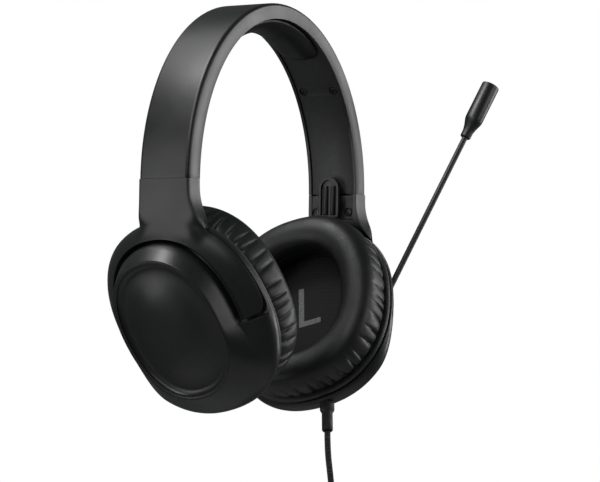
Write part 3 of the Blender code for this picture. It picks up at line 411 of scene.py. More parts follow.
def along(origin, direction):
    """A frame whose Z runs along a direction."""
    return Matrix.Translation(origin) @ Vector(direction).to_track_quat("Z", "Y").to_matrix().to_4x4()


def block(name, low, high):
    """A cube between two corners."""
    centre = [(a + b) / 2 for a, b in zip(low, high)]
    size = [b - a for a, b in zip(low, high)]
    return primitive(bpy.ops.mesh.primitive_cube_add, name, size=1.0, location=centre, scale=size)


def turned(name, outline, around=32):
    """A round piece: a disc that is drawn up ring by ring, each ring (radius, height)."""
    radius, height = outline[0]
    piece = primitive(bpy.ops.mesh.primitive_circle_add, name, vertices=around, radius=radius,
                      fill_type="NGON", location=(0, 0, 0))
    edit()
    bpy.ops.mesh.select_all(action="SELECT")
    bpy.ops.transform.translate(value=(0, 0, height))
    for next_radius, next_height in outline[1:]:
        bpy.ops.mesh.extrude_region_move(TRANSFORM_OT_translate={"value": (0, 0, next_height - height)})
        scale = next_radius / radius
        bpy.ops.transform.resize(value=(scale, scale, 1.0), center_override=(0, 0, next_height))
        radius, height = next_radius, next_height
    outwards()
    return piece


# The rubber has a faint dusty bloom.
rubber = Finish("soft_rubber", (0.016, 0.016, 0.016), 0.62)
rubber.gloss(rubber.noise(260.0), 0.52, 0.72)
rubber.shade(rubber.noise(90.0, 4.0), (0.013, 0.013, 0.013), (0.022, 0.022, 0.022))
rubber.grain(rubber.noise(2600.0), 0.00004, 0.5)
RUBBER = rubber.material

collar, sleeve = 0.0036, 0.0027
relief = turned("strain_relief_boot", [
    (collar, -0.0045), (collar, 0.0050), (collar - 0.0002, 0.0056), (sleeve + 0.0001, 0.0066),
    (sleeve, 0.0068), (sleeve, 0.0162), (sleeve - 0.0003, 0.0166), (0.0017, 0.0168), (0.0016, 0.0150)], 40)
round_edges(relief, 0.00025, 2, 28)
place_mesh(relief, along(relief_root, relief_way))
smooth(relief)
settle(relief, "left_cup", RUBBER, "soft_rubber", "strain_relief")

DOWN = Vector((0, 0, -1))
plug = turned("plug_grip", [
    (0.0021, 0.0), (0.0023, 0.0008), (0.0026, 0.0030), (0.0030, 0.0060), (0.0036, 0.0095), (0.0036, 0.0225),
    (0.0033, 0.0229), (0.0031, 0.0230)], 40)
edit()
pick(plug, faces=lambda f: 0.0100 < f.calc_center_median().z < 0.0220 and abs(f.normal.z) < 0.2)
bpy.ops.mesh.inset(thickness=0.0005, depth=-0.00025)
done()
place_mesh(plug, along(Vector((plug_x, plug_y, plug_top.z)), DOWN))
round_edges(plug, 0.0002, 2, 30)
smooth(plug)
settle(plug, "left_cup", RUBBER, "soft_rubber", "plug_body")


def metal_finish(name, colour, roughness, scratch):
    """Plated or blackened metal with fine handling marks."""
    metal = Finish(name, colour, roughness, 1.0)
    metal.gloss(metal.noise(scratch, 3.0), roughness * 0.8, roughness * 1.3)
    metal.grain(metal.noise(scratch * 3.0), 0.00002, 0.3)
    return metal.material


GOLD = metal_finish("gold_plating", (0.83, 0.62, 0.28), 0.22, 500.0)
pin_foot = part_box("plug_contacts")[1]
pin = turned("plug_pin", [
    (0.0029, 0.0001), (0.0029, 0.0010), (0.00175, 0.0011), (0.00175, 0.0046), (0.00160, 0.0047),
    (0.00160, 0.0052), (0.00175, 0.0053), (0.00175, 0.0076), (0.00160, 0.0077), (0.00160, 0.0082),
    (0.00175, 0.0083),
    (0.00175, 0.0104), (0.00125, 0.0111), (0.00130, 0.0114), (0.00175, 0.0122), (0.00090, 0.0138),
    (0.00030, 0.0140)], 32)
place_mesh(pin, along(Vector((plug_x, plug_y, pin_foot.z)), DOWN))
smooth(pin)
settle(pin, "left_cup", GOLD, "plug_contact", "plug_contacts")

tie = block("coil_strap", *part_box("coil_tie"))
edit()
pick(tie, faces=lambda f: abs(f.normal.z) > 0.9)
bpy.ops.mesh.delete(type="FACE")
done()
round_edges(tie, 0.0032, 5, 40)
modify(tie, "SOLIDIFY", thickness=0.0010, offset=-1.0)
round_edges(tie, 0.0003, 2, 40)
smooth(tie)
settle(tie, "left_cup", RUBBER, "soft_rubber", "coil_tie")


# ------------------------------------------------------------------ headband shell
# The outer band is one arched moulding in satin black plastic, a channel that opens towards the head.  Its
# long edges are rounded, and its ends stop at fine seams above the sliding arms.
HALF_WIDTH, LEG_DEPTH, CROWN_DEPTH = 0.0775, 0.0095, 0.0075
BAND_WIDTH, BAND_WALL, EDGE_ROUND = 0.028, 0.0016, 0.0019
SEAM_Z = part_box("headband_shell")[0].z
CROWN_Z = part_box("headband_shell")[1].z
ARCH_HEIGHT = CROWN_Z - SEAM_Z
ARCH_STEPS = 112

# Its mould leaves a fine spark-eroded grain and a slightly uneven gloss.
satin = Finish("satin_black", (0.007, 0.0075, 0.0075), 0.36)
satin.gloss(satin.noise(55.0, 3.0), 0.33, 0.40)
satin.shade(satin.noise(700.0), (0.0058, 0.0062, 0.0062), (0.0088, 0.0092, 0.0092))
satin.grain(satin.noise(900.0), 0.00003, 0.35)
satin.grain(satin.noise(3200.0, 1.0), 0.00002, 0.55)
SATIN = satin.material


def arched(name, near, far, width):
    """A flat section at the left seam, swung over the crown.  Depths count in from the outer face."""
    bpy.ops.object.select_all(action="DESELECT")
    bpy.ops.mesh.primitive_plane_add(size=1.0, location=(HALF_WIDTH - (near + far) / 2, 0, SEAM_Z))
    piece = bpy.context.object
    piece.name = name
    piece.scale = (far - near, width, 1.0)
    bpy.ops.object.transform_apply(location=True, rotation=True, scale=True)
    return piece


def swing(piece):
    """Spins the selected section through half a turn and draws the circle into the tall arch."""
    bpy.ops.mesh.select_all(action="SELECT")
    bpy.ops.mesh.spin(steps=ARCH_STEPS, angle=math.pi, center=(0, 0, SEAM_Z), axis=(0, -1, 0))
    done()
    points = piece.data.vertices
    if sum(point.co.z for point in points) / len(points) < SEAM_Z:
        piece.data.transform(Matrix.Translation((0, 0, 2 * SEAM_Z)) @ Matrix.Diagonal((1, 1, -1, 1)))
    for point in points:
        radius = math.hypot(point.co.x, point.co.z - SEAM_Z)
        depth = HALF_WIDTH - radius
        tall = ARCH_HEIGHT - depth * CROWN_DEPTH / LEG_DEPTH
        point.co.z = SEAM_Z + (point.co.z - SEAM_Z) * tall / radius


shell = arched("headband_outer_shell", 0.0, LEG_DEPTH, BAND_WIDTH)
edit()
pick(shell, verts=lambda v: v.co.x > HALF_WIDTH - 0.001)
bpy.ops.mesh.bevel(offset=EDGE_ROUND, segments=7, affect="VERTICES")
bpy.ops.mesh.select_all(action="SELECT")
bpy.ops.mesh.delete(type="ONLY_FACE")
pick(shell, edges=lambda e: all(v.co.x < HALF_WIDTH - LEG_DEPTH + 0.0001 for v in e.verts))
bpy.ops.mesh.delete(type="EDGE")
swing(shell)
edit()
bpy.ops.mesh.select_all(action="SELECT")
bpy.ops.mesh.remove_doubles(threshold=0.00001)
outwards()
out_at_crown = max(shell.data.polygons, key=lambda face: face.center.z)
if out_at_crown.normal.z < 0:
    shell.data.flip_normals()
modify(shell, "SOLIDIFY", thickness=BAND_WALL, offset=-1.0, use_even_offset=True)
round_edges(shell, 0.00035, 2, 50)
smooth(shell, 40.0)
settle(shell, "headband", SATIN, "satin_black", "headband_shell")

# ------------------------------------------------------------------ inner cover and its screws
# A matt moulded strip closes the channel towards the head.  Two black pan-head screws hold it in each leg,
# in counterbores.
COVER_INSET, COVER_THICKNESS = 0.0006, 0.0014
COVER_SCREW_ANGLE, COVER_SCREW_SIDE = math.radians(39.0), 0.0088
COVER_BORE_RADIUS, COVER_BORE_DEPTH, BORE_OVERSHOOT, HEAD_SUNK = 0.0022, 0.0010, 0.0005, 0.0003
COVER_SIDE_GAP = 0.0003

# The same plastic as the shell, with a coarser, duller mould grain.
matt = Finish("matt_black", (0.016, 0.0165, 0.0165), 0.50)
matt.gloss(matt.noise(80.0, 3.0), 0.44, 0.55)
matt.shade(matt.noise(500.0), (0.014, 0.0145, 0.0145), (0.020, 0.0205, 0.0205))
matt.grain(matt.noise(1900.0), 0.00005, 0.7)
MATT = matt.material
cover = arched("headband_lining", LEG_DEPTH - COVER_INSET - COVER_THICKNESS, LEG_DEPTH - COVER_INSET,
               BAND_WIDTH - 2 * BAND_WALL - 2 * COVER_SIDE_GAP)
edit()
swing(cover)
edit()
outwards()


def arch_frame(angle, depth, sideways):
    """A frame on the arch, Z out of the arch's inner side."""
    surface = Vector((HALF_WIDTH * math.cos(angle), sideways, SEAM_Z + ARCH_HEIGHT * math.sin(angle)))
    normal = Vector((math.cos(angle) / HALF_WIDTH, 0, math.sin(angle) / ARCH_HEIGHT)).normalized()
    return along(surface - normal * depth, -normal)


def cover_depth(angle):
    """Depth of the cover's face below the band's outer face, which is greater in the legs."""
    return LEG_DEPTH + (CROWN_DEPTH - LEG_DEPTH) * math.sin(angle) ** 2 - COVER_INSET


def cut(piece, tool):
    """Cuts a piece with another, which is then removed."""
    modify(piece, "BOOLEAN", operation="DIFFERENCE", solver="EXACT", object=tool)
    bpy.data.objects.remove(tool, do_unlink=True)


SCREW_SPOTS = [(side, place, angle, sideways)
               for side, angle in (("left", COVER_SCREW_ANGLE), ("right", math.pi - COVER_SCREW_ANGLE))
               for place, sideways in (("front", -COVER_SCREW_SIDE), ("rear", COVER_SCREW_SIDE))]
for side, place, angle, sideways in SCREW_SPOTS:
    bore = turned("bore", [(COVER_BORE_RADIUS, -COVER_BORE_DEPTH), (COVER_BORE_RADIUS, BORE_OVERSHOOT)], 28)
    place_mesh(bore, arch_frame(angle, cover_depth(angle), sideways))
    cut(cover, bore)
round_edges(cover, 0.00025, 2, 50)
smooth(cover, 40.0)
settle(cover, "headband", MATT, "matt_black", "headband_inner_cover")

BLACK_STEEL = metal_finish("blackened_steel", (0.06, 0.06, 0.062), 0.38, 900.0)


def cross_screw():
    """A pan-head screw, head up at the origin, with a cross recess."""
    head = turned("screw", [(0.00185, -0.0007), (0.00185, -0.0003), (0.0016, 0.0), (0.0009, 0.00015),
                            (0.0002, 0.0002)], 28)
    for half_x, half_y in ((0.00025, 0.0011), (0.0011, 0.00025)):
        cut(head, block("recess", (-half_x, -half_y, -0.00045), (half_x, half_y, 0.00055)))
    smooth(head, 35.0)
    return head


screw = cross_screw()
for side, place, angle, sideways in SCREW_SPOTS:
    name = f"{side}_cover_screw_{place}"
    made = copy_of(screw, name + "_head", arch_frame(angle, cover_depth(angle) - HEAD_SUNK, sideways))
    settle(made, "headband", BLACK_STEEL, "black_screw", name)

# ------------------------------------------------------------------ headband pad
# A foam strip in black synthetic leather, glued under the crown.  It is full along its middle and thins
# out to rounded ends.
PAD_SPAN, PAD_THICKNESS, PAD_WIDTH = 0.044, 0.0070, 0.0242
GLUE_GAP, GLUED_DEPTH = 0.0003, 0.0016

# Synthetic leather: a small pebbled grain over finer creases, and a soft uneven sheen.
leather = Finish("leatherette", (0.010, 0.0105, 0.0105), 0.42)
leather.shader.inputs["Specular IOR Level"].default_value = 0.36
leather.gloss(leather.noise(120.0, 4.0), 0.36, 0.50)
leather.shade(leather.noise(45.0, 5.0), (0.008, 0.0085, 0.0085), (0.0135, 0.014, 0.014))
leather.grain(leather.noise(420.0, 4.0), 0.00012, 0.35)
leather.grain(leather.pattern("Voronoi", "Distance", Scale=1250.0), 0.00008, 0.45)
LEATHER = leather.material
SWELL_FRAMES = 20


def inflate(piece, pinned, pressure, cap):
    """Swells a padded piece by cloth pressure.  It is held at its seams, and no point moves past a cap."""
    before = [vert.co.copy() for vert in piece.data.vertices]
    group = piece.vertex_groups.new(name="held")
    group.add([vert.index for vert in piece.data.vertices if pinned(vert.co)], 1.0, "REPLACE")
    cloth = piece.modifiers.new("cloth", "CLOTH")
    cloth.settings.quality = 6
    cloth.settings.mass = 0.15
    cloth.settings.tension_stiffness = 12.0
    cloth.settings.bending_stiffness = 0.6
    cloth.settings.use_pressure = True
    cloth.settings.uniform_pressure_force = pressure
    cloth.settings.vertex_group_mass = "held"
    cloth.settings.effector_weights.gravity = 0.0
    cloth.collision_settings.use_collision = False
    cloth.point_cache.frame_start, cloth.point_cache.frame_end = 1, SWELL_FRAMES
    for step in range(1, SWELL_FRAMES + 1):
        bpy.context.scene.frame_set(step)
    only(piece)
    bpy.ops.object.modifier_apply(modifier=cloth.name)
    bpy.context.scene.frame_set(1)
    for vert, old in zip(piece.data.vertices, before):
        shift = vert.co - old
        if shift.length > cap:
            vert.co = old + shift.normalized() * cap
    piece.vertex_groups.clear()


pad = block("crown_pad", (-1, -1, -1), (1, 1, 1))
edit()
bpy.ops.mesh.select_all(action="SELECT")
bpy.ops.mesh.subdivide(number_cuts=3)
pick(pad, edges=lambda e: abs(e.verts[0].co.x - e.verts[1].co.x) > 0.1)
bpy.ops.mesh.subdivide(number_cuts=7)
done()
for vert in pad.data.vertices:
    reach, side, low = vert.co
    end = math.sqrt(max(0.0, 1.0 - abs(reach) ** 5))
    angle = math.pi / 2 - reach * (math.pi / 2 - math.acos(PAD_SPAN / HALF_WIDTH))
    top = cover_depth(angle) + GLUE_GAP
    crown = (1.0 - abs(side) ** 2.6) ** 0.5 if abs(side) < 1 else 0.0
    thick = PAD_THICKNESS * (0.30 + 0.70 * end) * (0.34 + 0.60 * crown)
    depth = top + thick * (1.0 - low) / 2
    half = PAD_WIDTH / 2 * (0.70 + 0.28 * end) * (0.93 + 0.07 * (1.0 - abs(low)))
    vert.co = arch_frame(angle, depth, side * half).translation
edit()
outwards()
modify(pad, "SUBSURF", levels=1, render_levels=1)


def on_cover(point):
    """The glued side of the pad, next to the cover."""
    angle = math.atan2((point.z - SEAM_Z) / ARCH_HEIGHT, point.x / HALF_WIDTH)
    outer = arch_frame(angle, 0.0, 0.0).translation
    return (outer - Vector((point.x, 0, point.z))).length < CROWN_DEPTH + GLUED_DEPTH


inflate(pad, on_cover, pressure=1.6, cap=0.0012)
modify(pad, "SUBSURF", levels=2, render_levels=2)
smooth(pad, 180.0)
settle(pad, "headband", LEATHER, "leatherette", "headband_pad")

# ------------------------------------------------------------------ cup shells
# Each cup's housing is a deep oval bowl in the same satin plastic.  Round its upper part a recess takes the
# hood of the yoke, and inside that a steep wall rises to the lip round the face.
OVAL_POWER = 2.25
RIM, STEP, FACE = (0.0444, 0.0475), (0.0310, 0.0395), (0.0287, 0.0353)
STEP_LEVEL, FACE_LEVEL = 0.0114, 0.0199
RIM_LIP = 0.0019
HOOD_START, HOOD_END = math.radians(-9.0), math.radians(189.0)
HOOD_THICKNESS, HOOD_GAP = 0.0026, 0.0010
RECESS_TOP, RECESS_MARGIN, CORNER_RISE = 0.0078, math.radians(2.2), 0.0010


def oval_point(half, angle, level):
    """A point on a rounded oval, in a cup's own axes."""
    across = math.copysign(abs(math.cos(angle)) ** (2 / OVAL_POWER), math.cos(angle))
    up = math.copysign(abs(math.sin(angle)) ** (2 / OVAL_POWER), math.sin(angle))
    return Vector((half[0] * across, half[1] * up, level))


def grown(half, amount):
    return half[0] + amount, half[1] + amount


def between(start, end, share):
    return tuple(a + (b - a) * share for a, b in zip(start, end))


def flank(level):
    """Half sizes of the bowl's outside, between the rim and the foot of the steep wall."""
    return between(RIM, STEP, (level / STEP_LEVEL) ** 2.3)


def lowness(angle):
    """0 round the upper part of a cup, rising to 1 at its bottom."""
    below = -math.sin(angle)
    return ease((below - 0.10) / 0.62)


def full_side(level):
    """The lower part of the bowl is one full curve from rim to lip, and a little fuller than the rim."""
    share = level / FACE_LEVEL
    swell = 0.0019 * math.sin(math.pi * min(1.0, share * 1.35) ** 0.8) if share < 0.74 else 0.0
    return grown(between(RIM, FACE, share ** 2.1), max(0.0, swell))


def skin(name, rings, joined_ends):
    """A closed skin over rings of equal count.  The rings join end to end, or are capped.  Each ring has its
    own outline and height, which extruding and scaling can't give, so the faces are laid one by one."""
    shape = bmesh.new()
    rows = [[shape.verts.new(point) for point in ring] for ring in rings]
    pairs = list(zip(rows, rows[1:]))
    if joined_ends:
        pairs.append((rows[-1], rows[0]))
    count = len(rows[0])
    for low, high in pairs:
        for here in range(count):
            after = (here + 1) % count
            shape.faces.new((low[here], low[after], high[after], high[here]))
    if not joined_ends:
        shape.faces.new(list(reversed(rows[0])))
        shape.faces.new(rows[-1])
    bmesh.ops.recalc_face_normals(shape, faces=shape.faces)
    data = bpy.data.meshes.new(name)
    shape.to_mesh(data)
    shape.free()
    return in_scene(name, data)


def corner_rise(angle):
    """How far the hood and its recess rise from the rim in the rounded corner at each end."""
    from_end = min(angle - HOOD_START, HOOD_END - angle) / math.radians(5.0)
    return CORNER_RISE * max(0.0, 1.0 - from_end) ** 2


def bowl_columns():
    """Angles round the bowl, close together at the two ends of the recess, and whether each is in it."""
    start, end = HOOD_START - RECESS_MARGIN, HOOD_END + RECESS_MARGIN
    wall = math.radians(0.5)
    columns = [(start + wall + (end - start - 2 * wall) * step / 96, True) for step in range(97)]
    rest = 2 * math.pi - (end - start)
    columns += [(end + rest * step / 84, False) for step in range(85)]
    return columns


def bowl_rings():
    """Rows of the bowl: outside from rim to lip, then back down inside."""
    sink = HOOD_THICKNESS + HOOD_GAP
    levels = [0.0, 0.0009, RIM_LIP, 0.0030, 0.0042, 0.0055, 0.0068, 0.0081, 0.0093, 0.0105, STEP_LEVEL]
    rings = []
    for level in levels:
        ring = []
        for angle, sunk in bowl_columns():
            low = lowness(angle)
            foot = RIM_LIP + (corner_rise(angle) if sunk else 0.0)
            height = foot if level == RIM_LIP else level
            if sunk and level > RIM_LIP:
                share = (level - RIM_LIP) / (STEP_LEVEL - RIM_LIP)
                height = foot + 0.0004 + (RECESS_TOP - foot) * share
                half = between(flank(level), full_side(level), low)
                half = tuple(max(size - sink, wall + 0.0002) for size, wall in zip(half, STEP))
            else:
                half = between(flank(height), full_side(height), low)
            ring.append(oval_point(half, angle, height))
        rings.append(ring)
    rings.insert(3, [oval_point(grown(between(flank(RIM_LIP), full_side(RIM_LIP), lowness(angle)),
                                      -sink if sunk else 0.0), angle,
                                RIM_LIP + 0.0001 + (corner_rise(angle) if sunk else 0.0))
                     for angle, sunk in bowl_columns()])
    for share in (0.12, 0.30, 0.50, 0.70, 0.88, 1.0):
        level = STEP_LEVEL + (FACE_LEVEL - STEP_LEVEL) * share
        upper = between(STEP, FACE, share ** 1.15)
        rings.append([oval_point(between(upper, full_side(level), lowness(angle)), angle, level)
                      for angle, _ in bowl_columns()])
    mouth = (RIM[0] - 0.0058, RIM[1] - 0.0039)
    for level, half in ((FACE_LEVEL, grown(FACE, -0.0018)), (0.0082, grown(STEP, -0.0020)),
                        (0.0050, grown(STEP, 0.0009)), (0.0030, grown(mouth, -0.0022)), (0.0, mouth)):
        rings.append([oval_point(half, angle, level) for angle, _ in bowl_columns()])
    return rings


bowl = skin("cup_bowl", bowl_rings(), True)
round_edges(bowl, 0.00045, 3, 38)
smooth(bowl, 42.0)


def on_both_cups(piece, name, finish, slot_name, node):
    """Sets a copy of a piece on each cup, and removes the first one."""
    pair = []
    for side, axes in (("right", RIGHT), ("left", LEFT)):
        made = copy_of(piece, f"{side}_{name}", axes)
        pair.append(settle(made, side + "_cup", finish, slot_name, f"{side}_{node}"))
    bpy.data.objects.remove(piece, do_unlink=True)
    return pair


on_both_cups(bowl, "cup_housing", SATIN, "satin_black", "cup_shell")

# ------------------------------------------------------------------ face caps
# The oval face is a separate satin moulding, pressed into the lip.  It is dished: it falls away in a soft
# cove inside the lip and swells gently again across the middle.
CAP_DEPTH, CAP_GAP = 0.0038, 0.0021
DISH = ((CAP_GAP, 0.0001), (0.0004, 0.0002), (0.0008, 0.0003), (0.0013, 0.0002), (0.0017, -0.0001),
        (0.0021, -0.0007), (0.0026, -0.0014), (0.0033, -0.0019), (0.0043, -0.0021), (0.0058, -0.00205),
        (0.0080, -0.0017), (0.0105, -0.0012), (0.0135, -0.0003), (0.0170, 0.0005), (0.0205, 0.0010),
        (0.0240, 0.0013))
cap = primitive(bpy.ops.mesh.primitive_circle_add, "face_cap", vertices=144, radius=1.0, fill_type="NGON",
                location=(0, 0, 0))
for vert in cap.data.vertices:
    vert.co = oval_point((1.0, 1.0), math.atan2(vert.co.y, vert.co.x), 0.0)
edit()
bpy.ops.mesh.select_all(action="SELECT")
half, height = grown(FACE, -CAP_GAP), FACE_LEVEL - CAP_DEPTH
bpy.ops.transform.resize(value=(half[0], half[1], 1.0), center_override=(0, 0, 0))
bpy.ops.transform.translate(value=(0, 0, height))
for inward, rise in DISH:
    next_half, next_height = grown(FACE, -inward), FACE_LEVEL + rise
    bpy.ops.mesh.extrude_region_move(TRANSFORM_OT_translate={"value": (0, 0, next_height - height)})
    bpy.ops.transform.resize(value=(next_half[0] / half[0], next_half[1] / half[1], 1.0),
                             center_override=(0, 0, next_height))
    half, height = next_half, next_height
outwards()
smooth(cap, 40.0)
on_both_cups(cap, "face_cap", SATIN, "satin_black", "cup_cap")

# ------------------------------------------------------------------ yokes
# Arm and hood of each yoke are one satin moulding.  The arm takes over the band's section at the seam and
# flows into a curved hood, which lies in the recess of the cup and carries it on two pins.
ARM_COLUMNS = (0.0141, 0.0125, 0.0045, -0.0045, -0.0125, -0.0141)
ARM_ANGLES = [math.radians(angle) for angle in (87.0, 91.0, 102.0, 116.0, 130.0, 137.0)]
ARM_OUTER_X, ARM_INNER_X = HALF_WIDTH, HALF_WIDTH - LEG_DEPTH
ARM_TOP_Z = SEAM_Z - 0.00012
ARM_LEVELS = ((-0.0925, 0.0003, 0.0046), (-0.0880, 0.0, 0.0022), (-0.0832, 0.0, 0.0006), (-0.0790, 0.0, 0.0),
              (ARM_TOP_Z, 0.0, 0.0))
HOOD_FOOT, HOOD_TOP, HOOD_FOOT_SLOPE = RIM_LIP + 0.0003, STEP_LEVEL - 0.0016, 0.20
POCKET_INNER_X, POCKET_DEPTH, POCKET_GAP = 0.0600, 0.0018, 0.0003


def hood_section(angle):
    """Outside from rim side to face side, then back inside.  The foot rises past the pivots."""
    below = max(0.0, -oval_point(RIM, angle, 0.0).y)
    foot = HOOD_FOOT + HOOD_FOOT_SLOPE * below + corner_rise(angle)
    levels = [foot + (HOOD_TOP - foot) * share for share in (0.0, 0.10, 0.45, 0.80, 1.0)]
    outside = [oval_point(flank(level), angle, level) for level in levels]
    walls = (levels[4], 0.55, 0.80), (levels[2], 0.85, 0.40), (levels[0], 1.0, 0.0)
    inside = [oval_point(grown(flank(level), -HOOD_THICKNESS * share), angle, level - HOOD_THICKNESS * drop)
              for level, share, drop in walls]
    return outside + inside


def yoke_cage():
    """The left yoke's cage.  Its hood is a bent strip, and the arm grows out of the strip's upper edge.  The
    strip twists as it goes round, which operators can't follow, so the cage is laid face by face."""
    rear = [HOOD_START + math.radians(step) for step in (0.0, 2.5, 8.0)]
    rear += [math.radians(angle) for angle in (8.0, 20.0, 32.0, 44.0, 56.0, 67.0, 76.0, 83.0)]
    front = [math.radians(angle) for angle in (142.0, 148.0, 155.0, 162.0, 170.0, 178.0)]
    front += [HOOD_END - math.radians(step) for step in (5.0, 1.6, 0.0)]
    shape = bmesh.new()
    rows = [[shape.verts.new(LEFT @ point) for point in hood_section(angle)]
            for angle in rear + ARM_ANGLES + front]
    first, last = len(rear), len(rear) + len(ARM_ANGLES) - 1
    for row in rows[first + 1:last]:
        for corner in row[:3]:
            corner.co.x = ARM_OUTER_X
    count = len(rows[0])
    creased = []
    for index, (here, after) in enumerate(zip(rows, rows[1:])):
        for corner in range(count):
            following = (corner + 1) % count
            if corner == count - 1 and first <= index < last:
                continue
            shape.faces.new((here[corner], after[corner], after[following], here[following]))
        edges = (4, 5, 7) if first <= index < last or index in (0, len(rows) - 2) else (0, 4, 5, 7)
        creased += [(here[corner], after[corner]) for corner in edges]
    for end in (rows[0], rows[-1]):
        shape.faces.new(end)
        creased += [(end[corner], end[(corner + 1) % count]) for corner in range(2, count - 1)]
    root = [shape.verts.new(LEFT @ oval_point(grown(RIM, 0.0006), angle, HOOD_FOOT)) for angle in ARM_ANGLES]
    outer = [rows[first + step][0] for step in range(len(ARM_ANGLES))]
    under = [rows[first + step][-1] for step in range(len(ARM_ANGLES))]
    for step in range(len(ARM_ANGLES) - 1):
        shape.faces.new((under[step + 1], under[step], root[step], root[step + 1]))
        creased.append((root[step], root[step + 1]))
    ring = outer + [under[-1]] + list(reversed(root)) + [under[0]]
    for height, rearward, forward in ARM_LEVELS:
        across = [y + (rearward if y > 0 else -forward) * (abs(y) / ARM_COLUMNS[0]) ** 2 for y in ARM_COLUMNS]
        next_outer = [shape.verts.new((ARM_OUTER_X, y, height)) for y in across]
        next_inner = [shape.verts.new((ARM_INNER_X, y, height)) for y in across]
        sides = [shape.verts.new((ARM_OUTER_X - EDGE_ROUND, y, height)) for y in (across[-1], across[0])]
        next_ring = next_outer + [sides[0]] + list(reversed(next_inner)) + [sides[1]]
        for step in range(len(ring)):
            after = (step + 1) % len(ring)
            shape.faces.new((ring[step], ring[after], next_ring[after], next_ring[step]))
        for corner in (len(outer) + 1, len(next_ring) - 2):
            creased.append((ring[corner], next_ring[corner]))
        ring, outer, inner = next_ring, next_outer, next_inner
    for step in range(len(outer) - 1):
        shape.faces.new((outer[step], outer[step + 1], inner[step + 1], inner[step]))
    shape.faces.new((outer[0], inner[0], ring[-1]))
    shape.faces.new((outer[-1], ring[len(outer)], inner[-1]))
    creased += [(ring[step], ring[(step + 1) % len(ring)]) for step in range(len(ring))]
    bmesh.ops.recalc_face_normals(shape, faces=shape.faces)
    layer = shape.edges.layers.float.new("crease_edge")
    for one, other in creased:
        edge = shape.edges.get((one, other))
        if edge:
            edge[layer] = 0.9 if abs(one.co.z - ARM_TOP_Z) > 0.0001 else 1.0
    data = bpy.data.meshes.new("yoke")
    shape.to_mesh(data)
    shape.free()
    return in_scene("left_yoke_moulding", data)


plate_low, plate_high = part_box("left_arm_plate")
yoke = yoke_cage()
modify(yoke, "SUBSURF", levels=3, render_levels=3)
cut(yoke, block("pocket", (POCKET_INNER_X, plate_low.y - POCKET_GAP, plate_low.z - POCKET_GAP),
                (ARM_OUTER_X - POCKET_DEPTH, plate_high.y + POCKET_GAP, SEAM_Z + 0.004)))
smooth(yoke, 38.0)
settle(copy_of(yoke, "right_yoke_moulding", MIRROR), "right_arm", SATIN, "satin_black", "right_yoke")
settle(yoke, "left_arm", SATIN, "satin_black", "left_yoke")

# ------------------------------------------------------------------ arm plates, screws and cable guides
# A small matt plate closes each arm on the inside, held by two screws.  The moulded guide over it leads the
# cable up into the band: an arch-topped boss with two round channels.  Two tongues back the seam above.
ARM_BORE_RADIUS, ARM_BORE_DEPTH = 0.0024, 0.0008
TONGUE_NEAR, TONGUE_FAR, TONGUE_INNER_X, TONGUE_SUNK = 0.0076, 0.0119, 0.0702, 0.0021
TONGUE_BELOW, TONGUE_ABOVE = 0.0060, 0.0003
CHANNEL_SIDE, CHANNEL_RADIUS, CHANNEL_FOOT, CHANNEL_HEAD = 0.0021, 0.00145, 0.0010, 0.0042
FRAME_WIDTH, FRAME_DEPTH = 0.0011, 0.0011
arm_plate = block("arm_plate", plate_low, plate_high)
screw_places = []
for place in ("front", "rear"):
    low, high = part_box(f"left_arm_screw_{place}")
    screw_places.append((place, Vector((plate_low.x, (low.y + high.y) / 2, (low.z + high.z) / 2))))
for place, centre in screw_places:
    bore = turned("bore", [(ARM_BORE_RADIUS, -ARM_BORE_DEPTH), (ARM_BORE_RADIUS, BORE_OVERSHOOT)], 28)
    place_mesh(bore, along(centre, (-1, 0, 0)))
    cut(arm_plate, bore)
round_edges(arm_plate, 0.0003, 2, 50)
smooth(arm_plate, 35.0)

tongues = [block("seam_tongue", (TONGUE_INNER_X, low, SEAM_Z - TONGUE_BELOW),
                 (ARM_OUTER_X - TONGUE_SUNK, high, SEAM_Z + TONGUE_ABOVE))
           for low, high in ((-TONGUE_FAR, -TONGUE_NEAR), (TONGUE_NEAR, TONGUE_FAR))]

guide_low, guide_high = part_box("left_cable_guide")
guide_half = (guide_high.y - guide_low.y) / 2
guide = block("cable_guide", guide_low, guide_high)
edit()
pick(guide, edges=lambda e: all(v.co.z > guide_high.z - 0.0001 for v in e.verts)
     and abs(e.verts[0].co.x - e.verts[1].co.x) > 0.001)
bpy.ops.mesh.bevel(offset=guide_half * 0.995, segments=12, affect="EDGES")
pick(guide, faces=lambda f: f.normal.x < -0.9)
bpy.ops.mesh.inset(thickness=FRAME_WIDTH, depth=0.0)
bpy.ops.mesh.extrude_region_move(TRANSFORM_OT_translate={"value": (FRAME_DEPTH, 0, 0)})
done()
round_edges(guide, 0.00035, 3, 40)
smooth(guide, 40.0)
channels = []
channel_length = guide_high.z - guide_low.z - CHANNEL_FOOT - CHANNEL_HEAD
for sideways in (-CHANNEL_SIDE, CHANNEL_SIDE):
    channel = primitive(bpy.ops.mesh.primitive_cylinder_add, "cable_channel", vertices=28,
                        radius=CHANNEL_RADIUS, depth=channel_length,
                        location=(guide_low.x + FRAME_DEPTH + 0.0002, sideways,
                                  guide_low.z + CHANNEL_FOOT + channel_length / 2))
    round_edges(channel, 0.0006, 3, 50)
    smooth(channel, 40.0)
    channels.append(channel)

